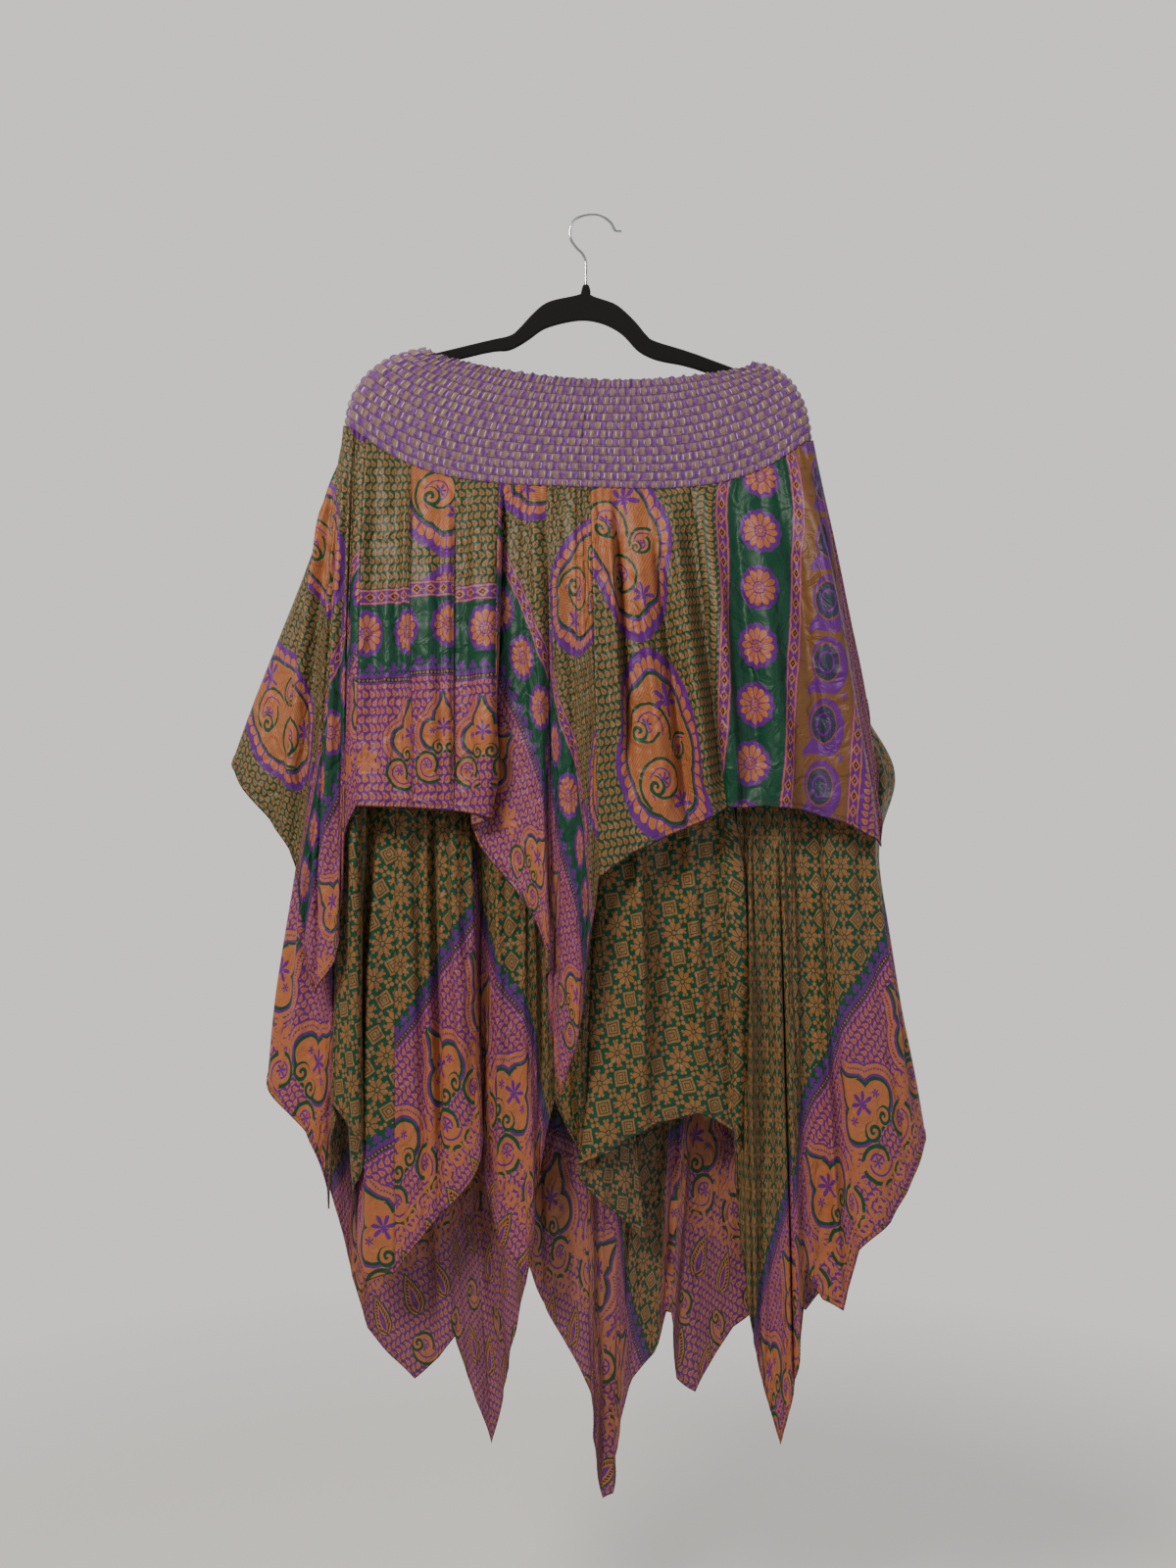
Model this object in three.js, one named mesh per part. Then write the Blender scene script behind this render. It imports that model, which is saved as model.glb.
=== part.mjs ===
// A pixie skirt on a velvet hanger, in millimetres, +Z up, front towards -Y.
//
// The skirt is a wide shirred band with two tiers of sari-cloth panels gathered
// into its lower edge. The panels' corners hang down as points. The origin is
// the inside top of the hanger's hook, which is where the whole thing hangs.

import * as THREE from "three";

// ---------------------------------------------------------------- driving sizes

const SEAM_GAP = 0.3;
const CLOTH_WALL = 1.2;

const BAND = {
  top: { left: -155, right: 154, zLeft: -129, zRight: -142, zMid: -156, fullness: 2 },
  bottom: { left: -227, right: 203, zLeft: -197, zRight: -211, zMid: -257, fullness: 3.75 },
  endRadius: 7,
  bow: 3,
  wall: 3.4,
  puff: 1.1,
  puffDip: 0.35,
  shirringRows: 13,
  flatColumns: 18,
  bendColumns: 8,
  plainLevels: 8,
};

const UPPER_TIER = { offset: 2.6, spread: 120 };
const LOWER_TIER = { offset: 0.8, spread: 190 };
const TIER_TOP_GAP = 0.45;
const TIER_ROWS = 6;
const ROW_CROWDING = 1.25;
const FEWEST_STEPS = 2;
const DOUBLED_STEPS = 3;
const WIDEST_STEP = 5;
const FOLD_SOFTNESS = 0.5;
const LONGEST_MITRE = 1.15;
const SAME_FOLD = 1e-6;

const HANGER = { thickness: 5.5, edgeRound: 1, edgeInset: 0.8, seat: 0.8, neckX: -5, neckTopZ: -65 };
const HOOK = { wire: 3, sides: 6, steps: 36 };

// ------------------------------------------------------------------- the tables

const table = (columns, rows) =>
  rows.map((row) => Object.fromEntries(columns.map((name, index) => [name, row[index]])));

// One row for each fold. at: degrees round the band, 0 at the left fold and 90
// at the middle of the front. x, y, z: where the fold reaches the hem.
const FOLD = ["at", "x", "y", "z"];

const UPPER_FOLDS = table(FOLD, [
  [-20, -329, 14, -500],
  [-13, -339, -4, -521],
  [-7, -288, -30, -574],
  [-1, -270, -30, -612],
  [5, -258, -42, -725],
  [11, -228, -50, -693],
  [17, -226, -38, -579],
  [23, -216, -62, -553],
  [33, -187, -54, -554],
  [47, -153, -66, -555],
  [60, -119, -58, -558],
  [70, -87, -70, -564],
  [73, -114, -50, -575],
  [75.5, -66, -56, -629],
  [78.5, -33, -68, -695],
  [82, -41, -51, -707],
  [85.5, -30, -58, -816],
  [89, -11, -54, -767],
  [93, 4, -64, -618],
  [99, 39, -54, -595],
  [105, 71, -66, -579],
  [111, 98, -56, -568],
  [119, 126, -68, -554],
  [127, 134, -48, -555],
  [134, 158, -60, -553],
  [145, 192, -50, -557],
  [156, 227, -60, -568],
  [168, 267, -50, -590],
  [176, 254, -16, -458],
  [183, 252, 10, -440],
  [190, 253, 38, -523],
  [197, 227, 46, -652],
  [205, 192, 54, -606],
  [214, 187, 40, -560],
  [224, 154, 56, -557],
  [234, 121, 44, -555],
  [244, 89, 58, -560],
  [252, 60, 42, -606],
  [260, 34, 54, -703],
  [266, 8, 50, -795],
  [272, -12, 42, -680],
  [280, -40, 56, -606],
  [290, -76, 44, -574],
  [301, -115, 58, -558],
  [311, -150, 42, -555],
  [317, -187, 54, -569],
  [324, -224, 44, -629],
  [331, -262, 50, -680],
  [336, -296, 34, -579],
]);

const LOWER_FOLDS = table(FOLD, [
  [-18, -297, 10, -795],
  [-10, -305, -6, -818],
  [-3, -262, -22, -855],
  [4, -240, -19, -926],
  [11, -240, -29, -829],
  [20, -207, -35, -864],
  [28, -222, -11, -933],
  [33, -210, -21, -993],
  [38, -185, -28, -984],
  [48, -136, -26, -930],
  [58, -98, -35, -880],
  [63, -108, -9, -818],
  [67.5, -94, -18, -926],
  [72, -80, -26, -965],
  [75, -59, -31, -986],
  [78, -50, -22, -930],
  [81, -43, -13, -827],
  [85, 20, -11, -924],
  [90, 60, -18, -959],
  [95, -25, -30, -893],
  [100, 14, -38, -871],
  [106, 54, -31, -847],
  [116, 104, -26, -836],
  [124, 137, -33, -859],
  [129, 132, -21, -878],
  [134, 142, -26, -993],
  [138, 154, -30, -1075],
  [142, 175, -24, -1142],
  [147, 192, -34, -1071],
  [151, 198, -14, -983],
  [156, 213, -20, -1011],
  [160, 238, -15, -1020],
  [163, 242, -30, -963],
  [168, 278, -26, -937],
  [174, 312, -14, -868],
  [186, 301, 14, -845],
  [191, 273, 24, -928],
  [197, 235, 14, -993],
  [204, 205, 26, -1034],
  [211, 172, 16, -1020],
  [218, 137, 22, -1050],
  [223, 95, 28, -1113],
  [226, 81, 20, -1099],
  [230, 77, 12, -1034],
  [234, 71, 24, -1035],
  [240, 63, 18, -1073],
  [247, 37, 26, -1100],
  [253, 27, 16, -1140],
  [258, 22, 26, -1210],
  [262, 10, 30, -1216],
  [266, 4, 22, -1177],
  [270, 3, 14, -1112],
  [276, -19, 24, -1074],
  [283, -43, 16, -1034],
  [290, -60, 27, -993],
  [296, -68, 12, -1036],
  [302, -76, 22, -1072],
  [308, -86, 28, -1127],
  [313, -94, 22, -1162],
  [317, -109, 26, -1119],
  [320, -131, 16, -1058],
  [324, -145, 22, -1080],
  [328, -167, 28, -1100],
  [331, -196, 22, -1075],
  [334, -214, 26, -1052],
  [336.5, -226, 20, -1002],
  [339, -251, 22, -901],
]);

// Where the fullness of the lower tier swings out at the right, below the upper one.
const SIDE_SWING = { reach: 26, z: -565, height: 72, from: 160, to: 196 };

// Each panel runs between two folds, named by their degrees.
const PANEL = ["name", "from", "to"];

const UPPER_PANELS = table(PANEL, [
  ["upper_front_1", -20, 23],
  ["upper_front_2", 23, 70],
  ["upper_front_3", 70, 93],
  ["upper_front_4", 93, 119],
  ["upper_front_5", 119, 183],
  ["upper_back_1", 183, 224],
  ["upper_back_2", 224, 272],
  ["upper_back_3", 272, 311],
  ["upper_back_4", 311, 340],
]);

const LOWER_PANELS = table(PANEL, [
  ["lower_front_1", -18, 38],
  ["lower_front_2", 38, 81],
  ["lower_front_3", 81, 124],
  ["lower_front_4", 124, 186],
  ["lower_back_1", 186, 230],
  ["lower_back_2", 230, 270],
  ["lower_back_3", 270, 313],
  ["lower_back_4", 313, 342],
]);

// The hanger's outline, seen from the front. The arms' hidden ends follow from the band.
const OUTLINE = ["x", "z"];

const HANGER_TOP_LEFT = table(OUTLINE, [
  [-12, -74],
  [-35, -79],
  [-46, -84],
  [-57, -94],
  [-68, -106],
  [-77, -112.5],
  [-101, -118],
]);

const HANGER_TOP_RIGHT = table(OUTLINE, [
  [1, -75],
  [21, -82],
  [32, -90],
  [43, -101],
  [52, -112],
  [61, -118],
  [99, -130],
]);

const HANGER_UNDERSIDE = table(OUTLINE, [
  [-101, -129],
  [-79, -126.5],
  [-68, -122],
  [-57, -115],
  [-44, -106],
  [-24, -100],
  [-6, -98],
  [10, -101],
  [23, -107],
  [32, -114],
  [43, -126],
  [55, -133],
  [68, -137],
  [99, -144],
]);

// The collar's points from the middle of its top, and an arm's end from the end of its upper edge.
const HANGER_COLLAR = table(OUTLINE, [
  [-4.5, -6],
  [-2.5, 0],
  [2.5, 0],
  [4.5, -6],
]);

const HANGER_TIP = table(["beyond", "below"], [
  [1.2, 4],
  [0, 8],
  [-4, 11],
]);

const HANGER_ARMS = {
  left: { fromX: -101, fromZ: -118, slope: -0.22, tipX: -190 },
  right: { fromX: 99, fromZ: -130, slope: -0.355, tipX: 188 },
};

// The wire's centre line, from the neck up and over to the turned-out end.
const HOOK_PATH = table(OUTLINE, [
  [-5, -64.7],
  [-5, -48],
  [-5.5, -41],
  [-8.5, -35],
  [-13.5, -30],
  [-18.5, -23],
  [-20, -15.5],
  [-18.5, -8.5],
  [-14.5, -3],
  [-8, 0.3],
  [0, 1.5],
  [7, 1],
  [13.5, -2],
  [19, -7],
  [21.5, -12],
  [24, -14],
  [28.5, -14],
]);

// -------------------------------------------------------------------- materials

const fabric = (color, roughness = 0.55) =>
  new THREE.MeshStandardMaterial({ color, roughness, metalness: 0, side: THREE.DoubleSide });

const MATERIALS = {
  band: fabric(0x8d6f8c, 0.75),
  upper: fabric(0x6b5a3a),
  lower: fabric(0x5f5636),
  velvet: new THREE.MeshStandardMaterial({ color: 0x0b0b0d, roughness: 0.95, metalness: 0 }),
  chrome: new THREE.MeshStandardMaterial({ color: 0xc9cbd0, roughness: 0.18, metalness: 1 }),
};

// -------------------------------------------------------------- meshes from grids

const mix = THREE.MathUtils.lerp;

/** Collects triangles over shared points and turns them into a geometry. */
class Shell {
  constructor() {
    this.positions = [];
    this.faces = [];
  }

  point(vector) {
    this.positions.push(vector.x, vector.y, vector.z);
    return this.positions.length / 3 - 1;
  }

  grid(rows) {
    return rows.map((row) => row.map((vector) => this.point(vector)));
  }

  triangle(a, b, c, flip) {
    this.faces.push(...(flip ? [a, c, b] : [a, b, c]));
  }

  quad(a, b, c, d, flip, otherWay) {
    if (otherWay) {
      this.triangle(b, c, d, flip);
      this.triangle(b, d, a, flip);
    } else {
      this.triangle(a, b, c, flip);
      this.triangle(a, c, d, flip);
    }
  }

  /** Covers a grid of point numbers, row by row, each cell split along its shorter diagonal. */
  cover(ids, grid, flip) {
    for (let r = 0; r + 1 < ids.length; r += 1) {
      for (let c = 0; c + 1 < ids[r].length; c += 1) {
        const falling = grid[r][c].distanceTo(grid[r + 1][c + 1]);
        const rising = grid[r + 1][c].distanceTo(grid[r][c + 1]);
        this.quad(ids[r][c], ids[r + 1][c], ids[r + 1][c + 1], ids[r][c + 1], flip, rising < falling);
      }
    }
  }

  /** Joins two lines of points that may differ in number. */
  bridge(first, second, flip) {
    let i = 0;
    let j = 0;
    while (i + 1 < first.length || j + 1 < second.length) {
      const nextFirst = (i + 1) / (first.length - 1);
      const nextSecond = (j + 1) / (second.length - 1);
      if (j + 1 >= second.length || (i + 1 < first.length && nextFirst <= nextSecond)) {
        this.triangle(first[i], first[i + 1], second[j], flip);
        i += 1;
      } else {
        this.triangle(first[i], second[j + 1], second[j], flip);
        j += 1;
      }
    }
  }

  geometry() {
    const geometry = new THREE.BufferGeometry();
    geometry.setAttribute("position", new THREE.Float32BufferAttribute(this.positions, 3));
    geometry.setIndex(this.faces);
    geometry.computeVertexNormals();
    return geometry;
  }
}

/** Closes two grids of points, an outer and an inner one with the same end columns, into a wall. */
function wallGeometry(outer, inner) {
  const shell = new Shell();
  const out = shell.grid(outer);
  const into = shell.grid(inner);
  const side = (ids, column) => ids.map((row) => row[column]);
  const lastOut = out[0].length - 1;
  const lastIn = into[0].length - 1;
  shell.cover(out, outer, false);
  shell.cover(into, inner.length === outer.length ? outer : inner, true);
  shell.bridge(out[0], into[0], false);
  shell.bridge(out.at(-1), into.at(-1), true);
  shell.bridge(side(out, 0), side(into, 0), true);
  shell.bridge(side(out, lastOut), side(into, lastIn), false);
  return shell.geometry();
}

/** The outward normals of a grid of points, lengthened at sharp folds to keep the wall's thickness. */
function gridNormals(grid) {
  const unit = (from, to) => new THREE.Vector3().subVectors(to, from).normalize();
  return grid.map((row, r) =>
    row.map((point, c) => {
      const before = row[Math.max(c - 1, 0)];
      const after = row[Math.min(c + 1, row.length - 1)];
      const above = grid[Math.max(r - 1, 0)][c];
      const below = grid[Math.min(r + 1, grid.length - 1)][c];
      const along = new THREE.Vector3();
      if (c > 0) along.add(unit(before, point));
      if (c + 1 < row.length) along.add(unit(point, after));
      const sides = c > 0 && c + 1 < row.length ? 2 : 1;
      const mitre = Math.min(sides / along.length(), LONGEST_MITRE);
      return unit(above, below).cross(along).normalize().multiplyScalar(mitre);
    }),
  );
}

const movedOut = (grid, normals, distance) =>
  grid.map((row, r) =>
    row.map((point, c) => point.clone().addScaledVector(normals[r][c], distance(r, c))),
  );

// --------------------------------------------------------------- the band's form

/** The band's inner section at a level, 0 at its top edge and 1 at the tiers' seam. */
function bandSection(level) {
  const sweep = Math.sin((level * Math.PI) / 2);
  const fall = 1 - Math.cos((level * Math.PI) / 2);
  const { top, bottom, endRadius } = BAND;
  const left = mix(top.left, bottom.left, sweep);
  const right = mix(top.right, bottom.right, sweep);
  return {
    centre: (left + right) / 2,
    halfWidth: (right - left) / 2,
    radius: endRadius,
    zLeft: mix(top.zLeft, bottom.zLeft, fall),
    zRight: mix(top.zRight, bottom.zRight, fall),
    zMid: mix(top.zMid, bottom.zMid, level),
    fullness: mix(top.fullness, bottom.fullness, level),
  };
}

/** The height of a section's edge, which dips between the two sides. */
function sectionHeight(section, x) {
  const across = THREE.MathUtils.clamp((x - section.centre) / section.halfWidth, -1, 1);
  const side = mix(section.zLeft, section.zRight, (across + 1) / 2);
  const middle = (section.zLeft + section.zRight) / 2;
  return side + (section.zMid - middle) * (1 - Math.abs(across) ** section.fullness);
}

/** How far a section reaches to the front or back at a given x. */
function sectionDepth(section, x) {
  const flat = section.halfWidth - section.radius;
  const from = Math.abs(x - section.centre);
  if (from <= flat) return section.radius + BAND.bow * (1 - (from / flat) ** 2);
  return Math.sqrt(Math.max(section.radius ** 2 - (from - flat) ** 2, 0));
}

/** A point at degrees round a section from its left fold, moved straight out by an offset. */
function sectionAt(section, degrees, offset) {
  const angle = THREE.MathUtils.degToRad(degrees);
  const x = section.centre - section.halfWidth * Math.cos(angle);
  const y = -Math.sign(Math.sin(angle)) * sectionDepth(section, x);
  const flat = section.halfWidth - section.radius;
  const bendCentre = section.centre + THREE.MathUtils.clamp(x - section.centre, -flat, flat);
  const outward = new THREE.Vector3(x - bendCentre, y, 0).normalize();
  return new THREE.Vector3(x, y, sectionHeight(section, x)).addScaledVector(outward, offset);
}

/** A point on the half ring from the front seam (-1) round one side (0) to the back seam (1). */
function sectionRound(section, place, side) {
  const flat = section.halfWidth - section.radius;
  const bendShare = BAND.bendColumns / (2 * BAND.flatColumns + BAND.bendColumns);
  const past = Math.abs(place) - bendShare;
  if (past <= 0) {
    const turn = (place / bendShare) * (Math.PI / 2);
    const x = section.centre + side * (flat + section.radius * Math.cos(turn));
    return new THREE.Vector3(x, section.radius * Math.sin(turn), sectionHeight(section, x));
  }
  const x = section.centre + side * flat * (1 - past / (1 - bendShare));
  return new THREE.Vector3(x, Math.sign(place) * sectionDepth(section, x), sectionHeight(section, x));
}

// ------------------------------------------------------------------- the pieces

const piece = (name, geometry, material) => {
  const mesh = new THREE.Mesh(geometry, material);
  mesh.name = name;
  return mesh;
};

/** Draws the end of a row in towards its neighbour by half of a seam's gap. */
function trimEnd(row, end, next) {
  const inward = new THREE.Vector3().subVectors(row.at(next), row.at(end)).normalize();
  row.at(end).addScaledVector(inward, SEAM_GAP / 2);
}

/** Half of the shirred band: puffed between the rows outside, plain inside. */
function bandHalf(name, side) {
  const levels = BAND.shirringRows * 2;
  const columns = 2 * BAND.flatColumns + BAND.bendColumns;
  const gridOf = (count) =>
    Array.from({ length: count + 1 }, (_, r) => {
      const section = bandSection(r / count);
      const row = Array.from({ length: columns + 1 }, (_unused, c) => {
        const place = (2 * c) / columns - 1;
        return sectionRound(section, side > 0 ? place : -place, side);
      });
      trimEnd(row, 0, 1);
      trimEnd(row, -1, -2);
      return row;
    });
  const base = gridOf(levels);
  const normals = gridNormals(base);
  const puffAt = (r, c) => {
    const onStitching = r % 2 === 0;
    const high = (c + (r - 1) / 2) % 2 === 0;
    return BAND.wall + (onStitching ? 0 : BAND.puff * (high ? 1 : BAND.puffDip));
  };
  const outer = movedOut(base, normals, puffAt);
  return piece(name, wallGeometry(outer, gridOf(BAND.plainLevels)), MATERIALS.band);
}

/** A cubic through four values in a row, between the middle two. */
function throughFour(a, b, c, d, t) {
  const linear = (c - a) * t;
  const square = (2 * a - 5 * b + 4 * c - d) * t * t;
  const cube = (3 * b - a - 3 * c + d) * t * t * t;
  return b + (linear + square + cube) / 2;
}

/** Whether the hem doubles back between two folds, against the way round the band. */
function doublesBack(here, next) {
  const middle = THREE.MathUtils.degToRad((here.at + next.at) / 2);
  return (next.x - here.x) * Math.sin(middle) < 0;
}

/** The number of steps between two folds: more where the cloth doubles back or is wide. */
function stepsBetween(before, here, next, after) {
  const forWidth = Math.ceil((next.at - here.at) / WIDEST_STEP);
  const turns = doublesBack(before, here) || doublesBack(here, next) || doublesBack(next, after);
  return Math.max(forWidth, turns ? DOUBLED_STEPS : FEWEST_STEPS);
}

/** All the folds of a ring of panels, with rounded steps of depth between them. */
function foldColumns(folds) {
  const count = folds.length;
  const pick = (index) => {
    const turn = Math.floor(index / count);
    const fold = folds[index - turn * count];
    return { ...fold, at: fold.at + 360 * turn };
  };
  const columns = [];
  for (let i = 0; i < count; i += 1) {
    const [before, here, next, after] = [i - 1, i, i + 1, i + 2].map(pick);
    const steps = stepsBetween(before, here, next, after);
    for (let step = 0; step < steps; step += 1) {
      const t = step / steps;
      columns.push({
        at: mix(here.at, next.at, t),
        x: throughFour(before.x, here.x, next.x, after.x, t),
        y: throughFour(before.y, here.y, next.y, after.y, t),
        z: mix(here.z, next.z, t),
      });
    }
  }
  return columns;
}

/** Rounds the folds' edges by drawing each column towards the middle of its neighbours. */
function softened(columns) {
  const count = columns.length;
  return columns.map((column, i) => {
    const before = columns[(i + count - 1) % count];
    const after = columns[(i + 1) % count];
    const x = mix(column.x, (before.x + after.x) / 2, FOLD_SOFTNESS);
    const y = mix(column.y, (before.y + after.y) / 2, FOLD_SOFTNESS);
    return { ...column, x, y };
  });
}

/** How far the right side of the lower tier swings out at a height. */
function sideSwing(at, z) {
  const { reach, z: centre, height, from, to } = SIDE_SWING;
  if (at <= from || at >= to) return 0;
  const round = Math.sin((Math.PI * (at - from)) / (to - from));
  return reach * round * Math.exp(-(((z - centre) / height) ** 2));
}

/** The middle of a tier's cloth, a row of points for each level from the seam to the hem. */
function tierSurface(folds, tier, swing) {
  const section = bandSection(1);
  const columns = softened(softened(foldColumns(folds)));
  const filling = (drop) => 1 - Math.exp(-drop / tier.spread);
  const pointAt = (column, share) => {
    const top = sectionAt(section, column.at, tier.offset);
    top.z -= TIER_TOP_GAP;
    const length = top.z - column.z;
    const filled = filling(length * share) / filling(length);
    const z = top.z - length * share;
    const x = mix(top.x, column.x, share) + swing(column.at, z);
    return new THREE.Vector3(x, mix(top.y, column.y, filled), z);
  };
  const grid = Array.from({ length: TIER_ROWS + 1 }, (_, r) => {
    const share = (r / TIER_ROWS) ** ROW_CROWDING;
    return columns.map((column) => pointAt(column, share));
  });
  return { columns, grid };
}

/** Cuts a tier's ring into its sewn panels, each a closed wall of cloth. */
function tierPanels(folds, panels, tier, swing, material) {
  const { columns, grid } = tierSurface(folds, tier, swing);
  const count = columns.length;
  const looped = grid.map((row) => [...row, ...row, ...row]);
  const normals = gridNormals(looped);
  return panels.map(({ name, from, to }) => {
    const indexOf = (degrees) => {
      const turned = degrees >= columns[0].at + 360 ? degrees - 360 : degrees;
      return columns.findIndex((column) => Math.abs(column.at - turned) < SAME_FOLD);
    };
    const start = count + indexOf(from);
    const span = indexOf(to) > indexOf(from) ? indexOf(to) - indexOf(from) : count - indexOf(from);
    const cut = (rows) => rows.map((row) => row.slice(start, start + span + 1));
    const middle = cut(looped).map((row) => row.map((point) => point.clone()));
    const outward = cut(normals);
    for (const row of middle) {
      trimEnd(row, 0, 1);
      trimEnd(row, -1, -2);
    }
    const outer = movedOut(middle, outward, () => CLOTH_WALL / 2);
    const inner = movedOut(middle, outward, () => -CLOTH_WALL / 2);
    return piece(name, wallGeometry(outer, inner), material);
  });
}

/** The height of the band's inner fold over an arm of the hanger, at a given x. */
function foldHeight(side, x) {
  const key = side < 0 ? "left" : "right";
  const zKey = side < 0 ? "zLeft" : "zRight";
  const reach = (x - BAND.top[key]) / (BAND.bottom[key] - BAND.top[key]);
  if (reach <= 0) return BAND.top[zKey];
  const fall = 1 - Math.sqrt(Math.max(1 - reach ** 2, 0));
  return mix(BAND.top[zKey], BAND.bottom[zKey], fall);
}

/** The end of an arm's upper edge, where the band's fold rests on it. */
function armEnd({ fromX, fromZ, slope, tipX }, side) {
  const straight = fromZ + slope * Math.abs(tipX - fromX);
  return { x: tipX, z: Math.min(straight, foldHeight(side, tipX) - HANGER.seat) };
}

function hangerBody() {
  const { neckX, neckTopZ, thickness, edgeRound, edgeInset } = HANGER;
  const left = armEnd(HANGER_ARMS.left, -1);
  const right = armEnd(HANGER_ARMS.right, 1);
  const collar = HANGER_COLLAR.map(({ x, z }) => ({ x: neckX + x, z: neckTopZ + z }));
  const tip = (end, side) =>
    HANGER_TIP.map(({ beyond, below }) => ({ x: end.x + side * beyond, z: end.z - below }));
  const outline = [
    ...HANGER_TOP_LEFT.toReversed(),
    ...collar,
    ...HANGER_TOP_RIGHT,
    right,
    ...tip(right, 1),
    ...HANGER_UNDERSIDE.toReversed(),
    ...tip(left, -1).toReversed(),
    left,
  ];
  const shape = new THREE.Shape(outline.map(({ x, z }) => new THREE.Vector2(x, z)));
  const geometry = new THREE.ExtrudeGeometry(shape, {
    depth: thickness - 2 * edgeRound,
    bevelEnabled: true,
    bevelThickness: edgeRound,
    bevelSize: edgeInset,
    bevelOffset: -edgeInset,
    bevelSegments: 1,
  });
  geometry.translate(0, 0, edgeRound - thickness / 2);
  geometry.rotateX(Math.PI / 2);
  return piece("hanger_body", geometry, MATERIALS.velvet);
}

function hangerHook() {
  const points = HOOK_PATH.map(({ x, z }) => new THREE.Vector3(x, 0, z));
  const path = new THREE.CatmullRomCurve3(points, false, "centripetal");
  const ring = Array.from({ length: HOOK.sides }, (_, i) => {
    const angle = (2 * Math.PI * (i + 0.5)) / HOOK.sides;
    return new THREE.Vector2(Math.cos(angle), Math.sin(angle)).multiplyScalar(HOOK.wire / 2);
  });
  const geometry = new THREE.ExtrudeGeometry(new THREE.Shape(ring), {
    steps: HOOK.steps,
    extrudePath: path,
    bevelEnabled: false,
  });
  return piece("hanger_hook", geometry, MATERIALS.chrome);
}

// ---------------------------------------------------------------- the whole skirt

const noSwing = () => 0;

const skirt = new THREE.Group();
skirt.add(bandHalf("band_left", -1), bandHalf("band_right", 1));
skirt.add(...tierPanels(UPPER_FOLDS, UPPER_PANELS, UPPER_TIER, noSwing, MATERIALS.upper));
skirt.add(...tierPanels(LOWER_FOLDS, LOWER_PANELS, LOWER_TIER, sideSwing, MATERIALS.lower));
skirt.add(hangerBody(), hangerHook());

export default skirt;
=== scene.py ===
"""A pixie skirt of printed sari cloth on a velvet hanger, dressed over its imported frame.

The skirt has a wide shirred band and two tiers of panels whose corners hang as points.
Everything is in metres in the frame's own axes: +Z up, the front towards -Y, and the
origin inside the top of the hanger's hook. Sizes are written in millimetres.
"""

from __future__ import annotations

import ast
import logging
import math
from collections.abc import Mapping, Sequence
from dataclasses import dataclass, field
from typing import NamedTuple

import bpy
import numpy as np
from mathutils import Matrix, Vector

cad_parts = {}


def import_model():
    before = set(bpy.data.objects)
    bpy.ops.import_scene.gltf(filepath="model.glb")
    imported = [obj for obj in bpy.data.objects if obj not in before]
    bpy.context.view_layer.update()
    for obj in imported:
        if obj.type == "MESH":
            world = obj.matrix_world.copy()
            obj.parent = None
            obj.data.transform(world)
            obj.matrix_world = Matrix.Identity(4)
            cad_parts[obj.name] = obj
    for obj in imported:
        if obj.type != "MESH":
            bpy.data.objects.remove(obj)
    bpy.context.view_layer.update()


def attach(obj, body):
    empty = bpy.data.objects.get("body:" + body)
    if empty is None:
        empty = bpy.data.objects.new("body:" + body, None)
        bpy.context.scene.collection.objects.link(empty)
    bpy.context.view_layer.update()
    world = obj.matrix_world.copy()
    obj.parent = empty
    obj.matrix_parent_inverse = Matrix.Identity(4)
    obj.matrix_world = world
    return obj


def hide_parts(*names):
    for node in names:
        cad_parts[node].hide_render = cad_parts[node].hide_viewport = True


LOG = logging.getLogger("pixie_skirt")
MM = 0.001
PRINT_UV = "print_mm"
HEM_DISTANCE = "hem_mm"

FLAT = {"noise_dimensions": "2D"}
# The printed cloth's dyes, as sRGB hex. Ink also darkens the hems as painted shade.
DYES = {
    "purple": "#561A70",
    "deep_purple": "#38144F",
    "copper": "#9E5E38",
    "gold": "#855A33",
    "tan": "#6B4724",
    "green": "#063F29",
    "dark_green": "#07291D",
    "ink": "#180C14",
}
# A motif's place along the cloth from the middle of its repeat, and from its own middle.
REPEAT = "(fract(p / pitch) - 0.5) * pitch"
RADIUS = "sqrt(x * x + y * y)"

Value = float | bpy.types.NodeSocket
Known = dict[str, Value]
Colour = tuple[float, float, float, float]


# ------------------------------------------------------------------ colours and nodes


def linear(hex_colour: str) -> Colour:
    """Turns an sRGB hex colour to linear light.

    Args:
        hex_colour: six hex digits, with or without a leading #.

    Returns:
        Red, green, blue and an alpha of 1.
    """
    digits = hex_colour.lstrip("#")
    parts = [int(digits[i : i + 2], 16) / 255 for i in (0, 2, 4)]
    red, green, blue = (c / 12.92 if c <= 0.04045 else ((c + 0.055) / 1.055) ** 2.4 for c in parts)
    return red, green, blue, 1.0


def add_node(
    tree: bpy.types.NodeTree,
    kind: str,
    settings: Mapping[str, object] | None = None,
    links: Mapping[str | int, object] | None = None,
) -> bpy.types.Node:
    """Adds a node with its settings and its inputs.

    Args:
        tree: the node tree.
        kind: the node's type name.
        settings: the node's own properties.
        links: each input's name or number, with a socket to link or a plain value.

    Returns:
        The new node.
    """
    added = tree.nodes.new(kind)
    for key, value in (settings or {}).items():
        setattr(added, key, value)
    plug(added, links or {})
    return added


def plug(node: bpy.types.Node, links: Mapping[str | int, object]) -> None:
    """Gives a node's inputs, by name or number, a socket to link or a plain value."""
    for key, value in links.items():
        if isinstance(value, bpy.types.NodeSocket):
            node.id_data.links.new(value, node.inputs[key])
        else:
            node.inputs[key].default_value = value


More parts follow.
